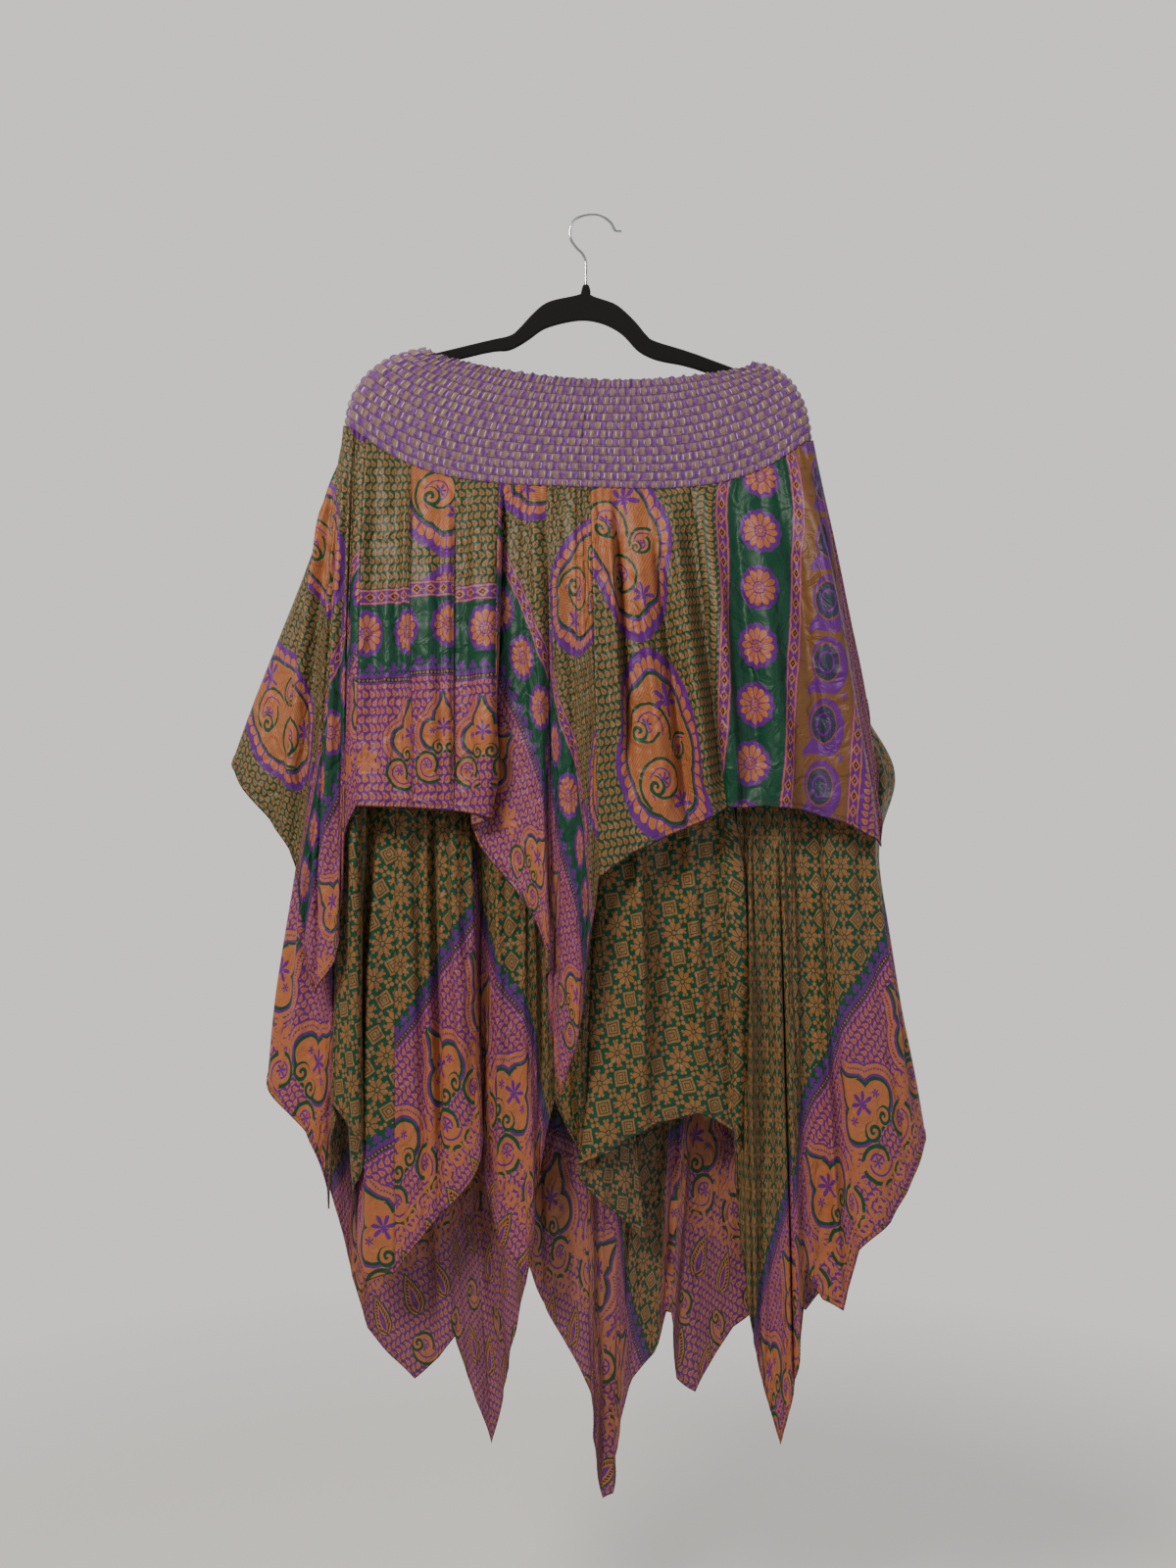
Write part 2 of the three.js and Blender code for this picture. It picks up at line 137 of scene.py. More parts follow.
class Recipe:
    """One material, written as nodes and as short formulas on them."""

    OPERATIONS = {
        ast.Add: "ADD",
        ast.Sub: "SUBTRACT",
        ast.Mult: "MULTIPLY",
        ast.Div: "DIVIDE",
        ast.Pow: "POWER",
        ast.Lt: "LESS_THAN",
        ast.Gt: "GREATER_THAN",
    }

    def __init__(self, name: str) -> None:
        """Starts an empty material with its output and shader."""
        self.material = bpy.data.materials.new(name)
        self.material.use_nodes = True
        self.tree = self.material.node_tree
        self.tree.nodes.clear()
        self.made: dict[tuple, bpy.types.NodeSocket] = {}
        self.base: Known = {}
        self.shader = self.node("ShaderNodeBsdfPrincipled")
        self.node("ShaderNodeOutputMaterial", links={"Surface": self.shader.outputs[0]})

    def node(
        self,
        kind: str,
        settings: Mapping[str, object] | None = None,
        links: Mapping[str | int, object] | None = None,
    ) -> bpy.types.Node:
        """Adds a node to the material, as add_node does."""
        return add_node(self.tree, kind, settings, links)

    def formula(self, text: str, at: Mapping[str, Value]) -> Value:
        """Writes an expression as Math nodes, reusing the nodes of equal parts.

        Args:
            text: an expression with + - * / ** < > and the Math node's operations as calls.
            at: what each name in the expression stands for.

        Returns:
            The socket that holds the result.
        """
        return self._part(ast.parse(text.strip()).body[0].value, at)

    def values(self, at: Mapping[str, Value] | None = None, **steps: Value | str) -> Known:
        """Works out named values in their order, each from those before it.

        Args:
            at: the values known already; the material's own if none are given.
            steps: each new value's name, with a formula or the value itself.

        Returns:
            All the values by name.
        """
        known = dict(self.base if at is None else at)
        for name, step in steps.items():
            known[name] = self.formula(step, known) if isinstance(step, str) else step
        return known

    def moved(self, at: Known, x: str, y: str) -> Known:
        """The same values with x and y measured from another origin, by two formulas."""
        return {**at, "x": self.formula(x, at), "y": self.formula(y, at)}

    def painted(self, colour: Value | Colour, at: Known, *coats: tuple[str, str]) -> Value:
        """Lays dyes over a colour one by one, each where its formula gives 1.

        Args:
            colour: what lies under them.
            at: the values that the formulas name.
            coats: each coat's dye, by name or as hex, and its formula.

        Returns:
            The colour.
        """
        for dye, mask in coats:
            colour = self.over(colour, linear(DYES.get(dye, dye)), self.formula(mask, at))
        return colour

    def over(self, below: Value | Colour, colour: Colour, mask: Value) -> bpy.types.NodeSocket:
        """Lays a colour over another where the mask is 1 and returns the mixture."""
        return self.node("ShaderNodeMix", {"data_type": "RGBA"}, {0: mask, 6: below, 7: colour}).outputs[2]

    def _part(self, part: ast.expr, at: Mapping[str, Value]) -> Value:
        """Writes one part of a formula and returns its socket or number."""
        if isinstance(part, ast.Constant):
            return float(part.value)
        if isinstance(part, ast.Name):
            return at[part.id]
        if isinstance(part, ast.UnaryOp):
            return self._combined("MULTIPLY", [self._part(part.operand, at), -1.0])
        if isinstance(part, ast.BinOp):
            name, sides = self.OPERATIONS[type(part.op)], [part.left, part.right]
        elif isinstance(part, ast.Compare):
            name, sides = self.OPERATIONS[type(part.ops[0])], [part.left, part.comparators[0]]
        else:
            name, sides = {"abs": "ABSOLUTE"}.get(part.func.id, part.func.id.upper()), part.args
        return self._combined(name, [self._part(side, at) for side in sides])

    def _combined(self, operation: str, sides: Sequence[Value]) -> Value:
        """Adds a Math node for an operation, or works it out where both sides are numbers."""
        plain = [s for s in sides if isinstance(s, float | int)]
        if len(plain) == len(sides) == 2 and operation in ("ADD", "SUBTRACT", "MULTIPLY", "DIVIDE"):
            a, b = sides
            return {"ADD": a + b, "SUBTRACT": a - b, "MULTIPLY": a * b, "DIVIDE": a / (b or 1)}[operation]
        key = (operation, *(s if isinstance(s, float | int) else s.as_pointer() for s in sides))
        if key not in self.made:
            added = self.node("ShaderNodeMath", {"operation": operation}, dict(enumerate(sides)))
            self.made[key] = added.outputs[0]
        return self.made[key]


# ------------------------------------------------------------------ the sari's prints


@dataclass(frozen=True)
class Strips:
    """Where the strips of the upper tier's print lie, in millimetres from the field's edge."""

    border: float = 15.0
    rosettes: float = 41.0
    rosette_pitch: float = 54.0
    fringe: float = 81.0
    arch_phase: float = 18.0
    medallion_p: float = 27.0
    medallion_q: float = -113.0
    medallion_pitch: float = 190.0


STRIPS = Strips()


class SariPrint(Recipe):
    """Motifs of a printed sari. p runs along its strips and q across them, in millimetres.

    A motif's x and y are measured from its own middle, along p and along q.
    """

    def __init__(self, name: str, dulled_and_shaded: float = 0.0) -> None:
        """Starts the print and reads its own measured coordinates.

        Args:
            name: the material's name.
            dulled_and_shaded: how far the colours are dulled, as on the cloth's wrong side, and darkened
                towards dark maroon as painted shade.
        """
        super().__init__(name)
        self.dulled_and_shaded = dulled_and_shaded
        self.coordinates = self.node("ShaderNodeUVMap", {"uv_map": PRINT_UV}).outputs[0]
        waver = {"Vector": self.coordinates, "Scale": 0.11, "Detail": 1.0}
        wander = self.node("ShaderNodeTexNoise", FLAT, waver)
        shift = self.node(
            "ShaderNodeVectorMath",
            {"operation": "MULTIPLY_ADD"},
            {0: wander.outputs["Color"], 1: (1.6, 1.6, 0), 2: self.coordinates},
        )
        parts = self.node("ShaderNodeSeparateXYZ", links={0: shift.outputs[0]})
        self.base = {"p": parts.outputs[0], "q": parts.outputs[1]}

    def ground(self, first: str, *edges: tuple[float, str]) -> Value:
        """Lays plain strips of colour side by side.

        Args:
            first: the dye before the first edge.
            edges: where each further strip starts across the cloth, and its dye.

        Returns:
            The colour.
        """
        return self.painted(linear(DYES[first]), self.base, *((dye, f"q > {start}") for start, dye in edges))

    def small_paisleys(self, colour: Value, dye: str, eye: str, inside: str) -> Value:
        """Covers a ground with rows of small curled teardrops that face each way in turn."""
        at = self.values(
            wide=6.8,
            tall=7.7,
            odd="modulo(abs(floor(q / tall)), 2)",
            x="(fract(p / wide + odd / 2) - 0.5) * wide",
            y="(fract(q / tall) - 0.5) * tall",
            bent="x * (1 - 2 * odd) + 0.12 * (y - 1.4) ** 2 - 0.55",
            half="0.36 * sqrt(maximum(3.4 - y, 0)) * (y + 3.8)",
            inside=inside,
        )
        stroke = "(abs(bent + 0.1) < 0.36) * (abs(y - 0.9) < 1.3) * inside"
        return self.painted(colour, at, (dye, "(abs(bent) < half) * inside"), (eye, stroke))

    def rosettes(self, colour: Value, centre: float) -> Value:
        """Lays a row of twelve-petalled rosettes on scalloped discs."""
        lobes = "abs(cosine(arctan2(y, x) * 6))"
        at = self.values(pitch=STRIPS.rosette_pitch, x=REPEAT, y=f"q - {centre}", r=RADIUS, lobes=lobes)
        return self.painted(
            colour,
            at,
            ("purple", "r < 20 + 1.6 * lobes"),
            ("copper", "(r < 13.5 + 3.6 * lobes) * (r > 6.2) * (lobes > 2.6 / r)"),
            ("copper", "maximum((r < 5.2) * (r > 2.6) * (lobes > 0.5), r < 1.9)"),
        )

    def diamonds(self, colour: Value, start: float, width: float) -> Value:
        """Lays a narrow border of diamonds between two lines on a purple ground."""
        at = self.values(
            pitch=14.0,
            half=width / 2,
            x=REPEAT,
            y=f"q - {start + width / 2}",
            strip="abs(y) < half",
            d=f"abs(x) / 6.6 + abs(y) / {width * 0.31}",
            centre="(d < 0.55) * (d > 0.2)",
        )
        return self.painted(
            colour,
            at,
            ("purple", "strip"),
            ("copper", "(abs(abs(y) - (half - 1.6)) < 0.8) * strip"),
            ("copper", "d < 1"),
            ("deep_purple", "centre"),
            ("ink", "centre * modulo(abs(floor(p / pitch)), 2)"),
        )

    def fringe(self, colour: Value, base: float) -> Value:
        """Lays a row of trefoils above a base line, and the beaded line under it."""
        at = self.values(
            pitch=14.0,
            x="abs(fract(p / pitch) - 0.5) * pitch",
            y=f"{base} - q",
            top="sqrt(x * x + (y - 10.4) ** 2) < 2.2",
            sides="sqrt((x - 3.1) ** 2 + (y - 6.8) ** 2) < 2.1",
            feet=f"(y < 1.6 + 2.4 * abs(cosine(p / pitch * {math.tau}))) * (y > -6.5)",
            stem="(x < 0.9) * (y < 10) * (y > 0)",
        )
        return self.painted(
            colour,
            at,
            ("purple", "maximum(maximum(top, sides), maximum(feet, stem))"),
            ("dark_green", "abs(y + 3) < 1.8"),
            ("gold", "sqrt(((fract(p / 3.7) - 0.5) * 3.7) ** 2 + (y + 3) ** 2) < 1.15"),
        )

    def sprig(self, colour: Value, at: Known, dye: str, size: float) -> Value:
        """Lays a fan of leaves on a short stalk, pointing up."""
        at = self.values(
            at,
            size=size,
            r=RADIUS,
            turn="arctan2(x, 0 - y)",
            leaves="(r < size * abs(cosine(turn * 3.5)) ** 0.9 - 0.6) * (y < size * 0.3)",
            stalk="(abs(x) < 0.9 + 0.05 * y) * (y > 0) * (y < size * 0.9)",
        )
        return self.painted(colour, at, (dye, "maximum(leaves, stalk)"))

    def comma(self, at: Known, size: float, start: float, way: float = 1.0, taper: float = 4.0) -> Known:
        """Works out a curled comma: a disc whose edge winds out to a tip.

        Args:
            at: the values with the comma's own x and y.
            size: the disc's radius.
            start: the tip's direction, in turns.
            way: 1 to wind one way and -1 for the other.
            taper: how late the edge winds out; more makes a thinner tip.

        Returns:
            The values with size, r, and d, which is how far a point is outside the comma.
        """
        wound = f"fract(arctan2(y, x) * {way / math.tau} + {start})"
        edge = f"r - size * (0.8 + 0.62 * wound ** {taper})"
        return self.values(at, size=size, r=RADIUS, wound=wound, d=edge)

    def paisley(self, colour: Value, at: Known, size: float, start: float, way: float = 1.0) -> Value:
        """Lays a green-edged copper comma with a flower and a ring in it."""
        ring = "abs(d + size * 0.45) < 0.75"
        at = self.comma(at, size, start, way)
        colour = self.painted(colour, at, ("green", "d < 0"), ("copper", "d < 0 - 2.8"), ("purple", ring))
        return self.flower_dots(colour, at, size * 0.3)

    def flower_dots(self, colour: Value, at: Known, size: float) -> Value:
        """Lays a tiny six-petalled purple flower."""
        petals = f"abs(cosine(arctan2(y, x) * 3)) * {size} > r"
        return self.painted(colour, self.values(at, r=RADIUS), ("purple", petals))

    def spiral(self, colour: Value, at: Known, radius: float) -> Value:
        """Lays a copper disc with a green curl wound on it."""
        at = self.values(at, r=RADIUS, turn=f"fract(arctan2(y, x) / {math.tau} + r / {radius * 0.8})")
        arm = f"(turn < 0.5) * (r < {radius + 0.8})"
        return self.painted(colour, at, ("copper", f"r < {radius}"), ("green", arm))

    def arches(self, colour: Value, tip: float, scale: float, phase: float) -> Value:
        """Lays a row of cusped ogee arches, each over a pair of curled paisleys.

        Args:
            colour: what lies under them.
            tip: where the arches' points are across the cloth.
            scale: their size over the smaller print's.
            phase: where one arch's middle is along the cloth.

        Returns:
            The colour.
        """
        pitch = 111.0
        at = self.values(
            x=f"(fract((p - {phase}) / {pitch} + 0.5) - 0.5) * {pitch / scale}",
            side="abs(x)",
            y=f"(q - {tip}) / {scale}",
            crown="sqrt(side * side + (y - 19) ** 2) - 10",
            flank="sqrt((side - 12) ** 2 + (y - 33) ** 2) - 11.5",
            middle="sqrt(side * side + (y - 38) ** 2) - 10",
            point="side - 0.03 * (y + 5) ** 2 + 1000000 * (abs(y - 4) > 9)",
            d="minimum(minimum(crown, flank), minimum(middle, point))",
            near="(y < 50) * (side < (y + 9) * 1.5)",
            dashes="(abs(d - 7.6) < 0.7) * (fract((side + y) / 3) < 0.6)",
        )
        colour = self.painted(
            colour,
            at,
            ("copper", "(d < 11.5) * near"),
            ("purple", "maximum(abs(d - 11.5) < 0.6, dashes) * near"),
            ("purple", "(d < 4.2) * near"),
            ("green", "d < 2.4"),
            ("copper", "d < 0"),
        )
        colour = self.sprig(colour, self.moved(at, "x", "y - 27"), "purple", 9.5)
        colour = self.flower_dots(colour, self.moved(at, "side - 13", "y - 30"), 3.4)
        colour = self.paisley(colour, self.moved(at, "side - 20", "y - 60"), 15.0, 0.62)
        colour = self.spiral(colour, self.moved(at, "side - 7", "y - 45"), 6.4)
        return self.sprig(colour, self.moved(at, f"side - {pitch / scale / 2}", "y - 52"), "copper", 17.0)

    def scrolls(self, colour: Value, start: float, width: float) -> Value:
        """Lays a band of copper volutes."""
        arm = f"fract(arctan2(y, x) / {math.tau} - r / 7.4)"
        at = self.values(pitch=24.0, x=REPEAT, y=f"q - {start + width / 2}", r=RADIUS, arm=arm)
        return self.painted(colour, at, ("copper", "(arm < 0.52) * (r < 12.5) * (r > 1)"))

    def teardrops(self, colour: Value, middle: float, pitch: float) -> Value:
        """Lays a row of large green-edged teardrops with a beaded line inside."""
        half = "0.105 * sqrt(maximum(18 - y, 0)) * (y + 22)"
        at = self.values(pitch=pitch, x=REPEAT, y=f"q - {middle}", half=half)
        beads = "(abs(x) < half - 1.8) * (abs(x) > half - 5) * (fract((y + abs(x)) / 4) < 0.6)"
        return self.painted(
            colour,
            at,
            ("green", "(abs(x) < half + 1.8) * (y < 19.5)"),
            ("copper", "abs(x) < half"),
            ("dark_green", beads),
            ("purple", "abs(x) < half - 7"),
            ("copper", "abs(x) < half - 10"),
        )

    def beaded_commas(self, colour: Value, middle: float, pitch: float) -> Value:
        """Lays a row of large purple commas with green beads, and tiny flowers between."""
        at = self.values(pitch=pitch, x=f"{REPEAT} * 0.84", y=f"(q - {middle}) * 1.16", angle="arctan2(y, x)")
        at = self.comma(at, 21.0, 0.375, 1.0, 1.4)
        colour = self.painted(
            colour,
            at,
            ("purple", "d < 0"),
            ("tan", "abs(r - 14.6) < 0.8"),
            ("deep_purple", "r < 13.8"),
            ("green", "(abs(r - 11.4) < 1.3) * (sine(angle * 15) > 0 - 0.2)"),
            ("purple", "abs(r - 8) < 0.9"),
            ("green", "(r < 6.4) * (sine(angle * 4 + r) > 0)"),
        )
        between = "(fract(p / pitch + 0.5) - 0.5) * pitch"
        for y in ("y + 18", "y - 21"):
            colour = self.flower_dots(colour, self.moved(at, between, y), 4.4)
        return colour

    def medallions(self, colour: Value) -> Value:
        """Lays the field's large lobed medallions, with scales round curls, commas and sprigs."""
        at = self.values(
            pitch=STRIPS.medallion_pitch,
            x=f"(fract((p - {STRIPS.medallion_p}) / pitch + 0.5) - 0.5) * pitch",
            y=f"(fract((q - {STRIPS.medallion_q}) / pitch + 0.5) - 0.5) * pitch",
            far="(q > 0) * 1000",
            angle="arctan2(y / 88, x / 56)",
            r="sqrt((x / 56) ** 2 + (y / 88) ** 2) - 0.05 * abs(cosine(angle * 4)) + far",
            arcs="abs(cosine(angle * 19))",
        )
        colour = self.painted(
            colour,
            at,
            ("purple", "r < 1"),
            ("copper", "(r < 0.86 + 0.05 * arcs) * (arcs > 0.24)"),
            ("purple", "r < 0.78"),
            ("green", "r < 0.75"),
            ("copper", "r < 0.71"),
            ("tan", "(fract((y * 0.8 + x) / 3.1) < 0.22) * (r < 0.71)"),
        )
        for x, y, size, start, way in (
            (-14.0, -24.0, 22.0, 0.9, 1.0),
            (-6.0, 27.0, 23.0, 0.35, -1.0),
            (22.0, 2.0, 13.0, 0.1, 1.0),
        ):
            here = self.moved(at, f"x - {x} + far", f"y - {y}")
            colour = self.paisley(colour, here, size, start, way)
            curl = self.moved(here, f"x + {size * 0.42}", f"y - {size * 0.25}")
            colour = self.spiral(colour, curl, size * 0.4)
        for x, y, size in ((15.0, -42.0, 17.0), (12.0, 50.0, 13.0)):
            colour = self.sprig(colour, self.moved(at, f"x - {x} + far", f"y - {y}"), "purple", size)
        return colour

    def end_border(self, colour: Value, base: float, tip: float, scale: float, phase: float) -> Value:
        """Lays the sari's end: its fringe line, arches, scrolls, commas and beaded teardrops."""
        colour = self.fringe(colour, base)
        colour = self.arches(colour, base + tip, scale, phase)
        colour = self.scrolls(colour, base + 128, 26)
        colour = self.teardrops(colour, base + 176, 46.0)
        at = self.values(pitch=62.0, x="(fract(p / pitch + 0.25) - 0.5) * pitch", y=f"q - {base + 224}")
        colour = self.paisley(colour, at, 17.0, 0.62)
        colour = self.spiral(colour, self.moved(at, "x - 5", "y + 5"), 7.0)
        return self.teardrops(colour, base + 268, 46.0)

    def blossoms(self, colour: Value, inside: str) -> Value:
        """Covers a ground with eight-petalled blossoms and nested squares, turn about."""
        at = self.values(
            pitch=23.0,
            x=REPEAT,
            y="(fract(q / pitch) - 0.5) * pitch",
            odd="modulo(abs(floor(p / pitch) + floor(q / pitch)), 2) > 0.5",
            r=RADIUS,
            lobes="abs(cosine(arctan2(y, x) * 4))",
            petals="(r < 7.4 + 3.2 * lobes) * (r > 2.9) * (lobes > 1.7 / r)",
            flower="maximum(petals, r < 1.7) * (1 - odd)",
            d="(abs(x + y) + abs(x - y)) / 2",
            square="((d < 7.0) - (d < 5.1) * (d > 4.1) - (d < 2.6) * (d > 1.7)) * odd",
            corner_x="abs(abs(x) - 11.5)",
            corner_y="abs(abs(y) - 11.5)",
            cluster="sqrt((corner_x - 2.4) ** 2 + (corner_y - 2.4) ** 2) < 2.0",
            bar_x="sqrt(corner_x * corner_x + (abs(y) - 1.7) ** 2) < 1.35",
            bar_y="sqrt(corner_y * corner_y + (abs(x) - 1.7) ** 2) < 1.35",
            between="maximum(cluster, maximum(bar_x, bar_y))",
        )
        return self.painted(colour, at, ("gold", f"maximum(maximum(flower, square), between) * ({inside})"))

    def finish(self, colour: Value) -> bpy.types.Material:
        """Turns a print into satin art silk and returns the material.

        Satin-woven art silk: smooth long floats of yarn give a broad soft highlight along the
        folds, and slubs in the yarn and shallow wrinkles break it up. The yarn is drawn at
        0.9 mm, coarser than the real 0.2 mm, so that it shows at all. Shade is painted dark along the hem's
        edge and along the step of the turned hem, and as a dark maroon over the wrong side.
        """
        yarn_place = self.node(
            "ShaderNodeVectorMath", {"operation": "MULTIPLY"}, {0: self.coordinates, 1: (1.1, 0.16, 1.0)}
        ).outputs[0]
        grains = {
            "slub": {"Vector": self.coordinates, "Scale": 0.35, "Detail": 3.0, "Roughness": 0.6},
            "yarn": {"Vector": yarn_place, "Scale": 1.0, "Detail": 1.0},
            "crumple": {"Vector": self.coordinates, "Scale": 0.05, "Detail": 2.5, "Distortion": 0.7},
        }
        at = {name: self.node("ShaderNodeTexNoise", FLAT, links).outputs[0] for name, links in grains.items()}
        at["hem"] = self.node("ShaderNodeAttribute", {"attribute_name": HEM_DISTANCE}).outputs["Fac"]
        # Painted shade: darker along the hem's last 1.3 mm and in a line along the step of the turned hem.
        hem_shade = "maximum((hem < 1.3) * 0.75, (abs(hem - 5.6) < 0.7) * 0.45)"
        colour = self.painted(colour, at, ("ink", hem_shade))
        bright = self.formula("0.86 + 0.22 * slub + 0.12 * yarn", at)
        tinted = self.node(
            "ShaderNodeHueSaturation",
            links={"Saturation": 1.0 - 0.08 * self.dulled_and_shaded, "Value": bright, "Fac": 1.0, "Color": colour},
        ).outputs[0]
        # Painted shade: the wrong side is darkened towards dark maroon.
        if self.dulled_and_shaded:
            tinted = self.over(tinted, linear("#3A1016"), 0.2 * self.dulled_and_shaded)
        normal = None
        reliefs = (("crumple", 0.8, 0.005), ("slub * 0.5 + yarn * 0.5", 0.35, 0.0006))
        for height, strength, distance in reliefs:
            links = {"Height": self.formula(height, at), "Strength": strength, "Distance": distance}
            links |= {"Normal": normal} if normal else {}
            normal = self.node("ShaderNodeBump", links=links).outputs[0]
        plug(
            self.shader,
            {
                "Base Color": tinted,
                "Roughness": self.formula("0.4 + 0.16 * slub", at),
                "Normal": normal,
                "Sheen Weight": 0.06,
                "Sheen Roughness": 0.45,
                "Specular IOR Level": 0.32,
            },
        )
        return self.material


def field_print(name: str, dulled_and_shaded: float) -> bpy.types.Material:
    """The upper tier's cloth: paisley field with medallions, rosette border and arches."""
    cloth = SariPrint(name, dulled_and_shaded)
    colour = cloth.ground("green", (STRIPS.fringe, "purple"))
    colour = cloth.small_paisleys(colour, "gold", "green", "q < 0")
    colour = cloth.medallions(colour)
    colour = cloth.diamonds(colour, 0.0, STRIPS.border)
    colour = cloth.rosettes(colour, STRIPS.rosettes)
    colour = cloth.small_paisleys(colour, "copper", "purple", f"q > {STRIPS.fringe + 7}")
    return cloth.finish(cloth.end_border(colour, STRIPS.fringe, 26.0, 1.0, STRIPS.arch_phase))


def selvedge_print(name: str, dulled_and_shaded: float) -> bpy.types.Material:
    """The upper tier's side cloth: rosettes, diamonds and large beaded commas in strips."""
    cloth = SariPrint(name, dulled_and_shaded)
    colour = cloth.ground("green", (0.0, "green"), (77.0, "tan"), (142.0, "purple"))
    colour = cloth.small_paisleys(colour, "gold", "green", "q < -13")
    colour = cloth.diamonds(colour, -13.0, 13.0)
    colour = cloth.rosettes(colour, 32.0)
    colour = cloth.diamonds(colour, 64.0, 13.0)
    colour = cloth.beaded_commas(colour, 104.0, 57.0)
    colour = cloth.diamonds(colour, 131.0, 13.0)
    return cloth.finish(cloth.small_paisleys(colour, "copper", "purple", "q > 147"))


def blossom_print(name: str, dulled_and_shaded: float) -> bpy.types.Material:
    """The lower tier's cloth: blossoms and squares on green, ending in arches and teardrops."""
    cloth = SariPrint(name, dulled_and_shaded)
    base = 13.0
    colour = cloth.ground("green", (base, "purple"))
    colour = cloth.blossoms(colour, "q < 0")
    colour = cloth.small_paisleys(colour, "copper", "purple", f"q > {base + 7}")
    return cloth.finish(cloth.end_border(colour, base, 28.0, 1.42, 0.0))


def shirred_cloth() -> bpy.types.Material:
    """The band's cloth: printed cotton-silk drawn up on stretch thread, in rows of small puffs.

    The coordinates count puffs along the band and rows down it, so the checks and the
    cream slubs sit on the puffs, and shade is painted dark along the stitched valleys between the rows.
    """
    cloth = Recipe("shirred_band_cloth")
    where = cloth.node("ShaderNodeUVMap", {"uv_map": PRINT_UV}).outputs[0]
    noise = cloth.node("ShaderNodeTexNoise", FLAT, {"Vector": where, "Scale": 2.3, "Detail": 3.0})
    place = cloth.node("ShaderNodeSeparateXYZ", links={0: where}).outputs
    stray = cloth.node("ShaderNodeSeparateColor", links={0: noise.outputs["Color"]}).outputs
    at = cloth.values(
        {"u": place[0], "v": place[1], "stray_u": stray[0], "stray_v": stray[1], "stray_w": stray[2]},
        loose_u="u + (stray_u - 0.5) * 0.5",
        loose_v="v + (stray_v - 0.5) * 0.4",
        row="floor(v)",
        shifted="u + 0.5 * modulo(abs(row), 2)",
        puff="floor(shifted)",
    )
    cell = cloth.node("ShaderNodeCombineXYZ", links={0: at["puff"], 1: at["row"]}).outputs[0]
    at["chosen"] = cloth.node("ShaderNodeTexWhiteNoise", FLAT, {"Vector": cell}).outputs[0]
    at = cloth.values(
        at,
        x="fract(shifted) - 0.5",
        y="fract(v) - 0.5",
        dash="(abs(x + (chosen - 0.5) * 0.4) < 0.06) * (abs(y) < 0.16 + 0.16 * chosen) * (chosen > 0.3)",
        # A line along each stitched row, for the painted shade in the valley between the puffs.
        elastic="abs(fract(v + 0.5) - 0.5) < 0.03 + stray_u * 0.06",
        weave="sine(u * 40) * sine(v * 44)",
    )
    colour = cloth.painted(
        linear("#7E615B"),
        at,
        ("#652780", f"sine(loose_u * {math.pi}) * sine(loose_v * {math.pi}) > (stray_w - 0.5) * 1.2"),
        ("#8E776A", "(stray_w > 0.55) * 0.35"),
        ("#D8CAB8", "dash * (0.35 + chosen * 0.5)"),
        # Painted shade: a dark line along the valley between each two rows of puffs.
        ("#3A2A3C", "elastic * 0.75"),
    )
    height = cloth.formula("weave * 0.35 + stray_u", at)
    bump = cloth.node("ShaderNodeBump", links={"Height": height, "Strength": 0.5, "Distance": 0.0005})
    rough = cloth.formula("0.58 + 0.2 * stray_v", at)
    finish = {"Base Color": colour, "Roughness": rough, "Normal": bump.outputs[0], "Sheen Weight": 0.3}
    plug(cloth.shader, finish)
    return cloth.material


@dataclass(frozen=True)
class PlainFinish:
    """A finish of one colour with fine grain.

    Attributes:
        name: what the real material is called.
        colour: its sRGB hex colour.
        roughness: how far it spreads a highlight.
        metallic: 1 for a metal.
        sheen: how strongly its pile catches light at its edges.
        grain: the grain's size in millimetres.
        relief: the grain's height in millimetres.
    """

    name: str
    colour: str
    roughness: float
    metallic: float = 0.0
    sheen: float = 0.0
    grain: float = 1.0
    relief: float = 0.1

    def material(self) -> bpy.types.Material:
        """Builds the finish and returns its material."""
        recipe = Recipe(self.name)
        place = recipe.node("ShaderNodeTexCoord").outputs["Object"]
        grain = {"Vector": place, "Scale": 1 / (self.grain * MM), "Detail": 3.0}
        value = recipe.node("ShaderNodeTexNoise", links=grain).outputs[0]
        bump = {"Height": value, "Strength": 0.6, "Distance": self.relief * MM}
        base = linear(self.colour)
        light = (*(min(c * 1.35 + 0.002, 1.0) for c in base[:3]), 1.0)
        rough = recipe.formula("rough * (0.85 + 0.3 * value)", {"rough": self.roughness, "value": value})
        finish = {
            "Base Color": recipe.over(base, light, value),
            "Roughness": rough,
            "Normal": recipe.node("ShaderNodeBump", links=bump).outputs[0],
            "Metallic": self.metallic,
            "Sheen Weight": self.sheen,
        }
        plug(recipe.shader, finish)
        return recipe.material


# Flocked velvet: short nylon pile that swallows light and glows faintly at grazing angles.
VELVET = PlainFinish("black_flocked_velvet", "#030304", 1.0, sheen=0.04, grain=0.7, relief=0.25)
# Chrome plate on drawn steel wire: sharp reflections, faint drawing marks.
CHROME = PlainFinish("chromed_steel_wire", "#C9CBD0", 0.14, metallic=1.0, grain=0.5, relief=0.01)
# Polyester sewing thread: matte, a little darker than the print.
THREAD = PlainFinish("plum_sewing_thread", "#4A2230", 0.7, grain=0.4, relief=0.05)


# ------------------------------------------------------------------- the band's form


@dataclass(frozen=True)
class BandEdge:
    """The band's inner edge at one level, in millimetres."""

    left: float
    right: float
    z_left: float
    z_right: float
    z_mid: float
    fullness: float


BAND_TOP = BandEdge(-155, 154, -129, -142, -156, 2)
BAND_BOTTOM = BandEdge(-227, 203, -197, -211, -257, 3.75)
# The radius of the band's side folds, and how far its middle bows out, in millimetres.
BAND_END_RADIUS = 7.0
BAND_BOW = 3.0


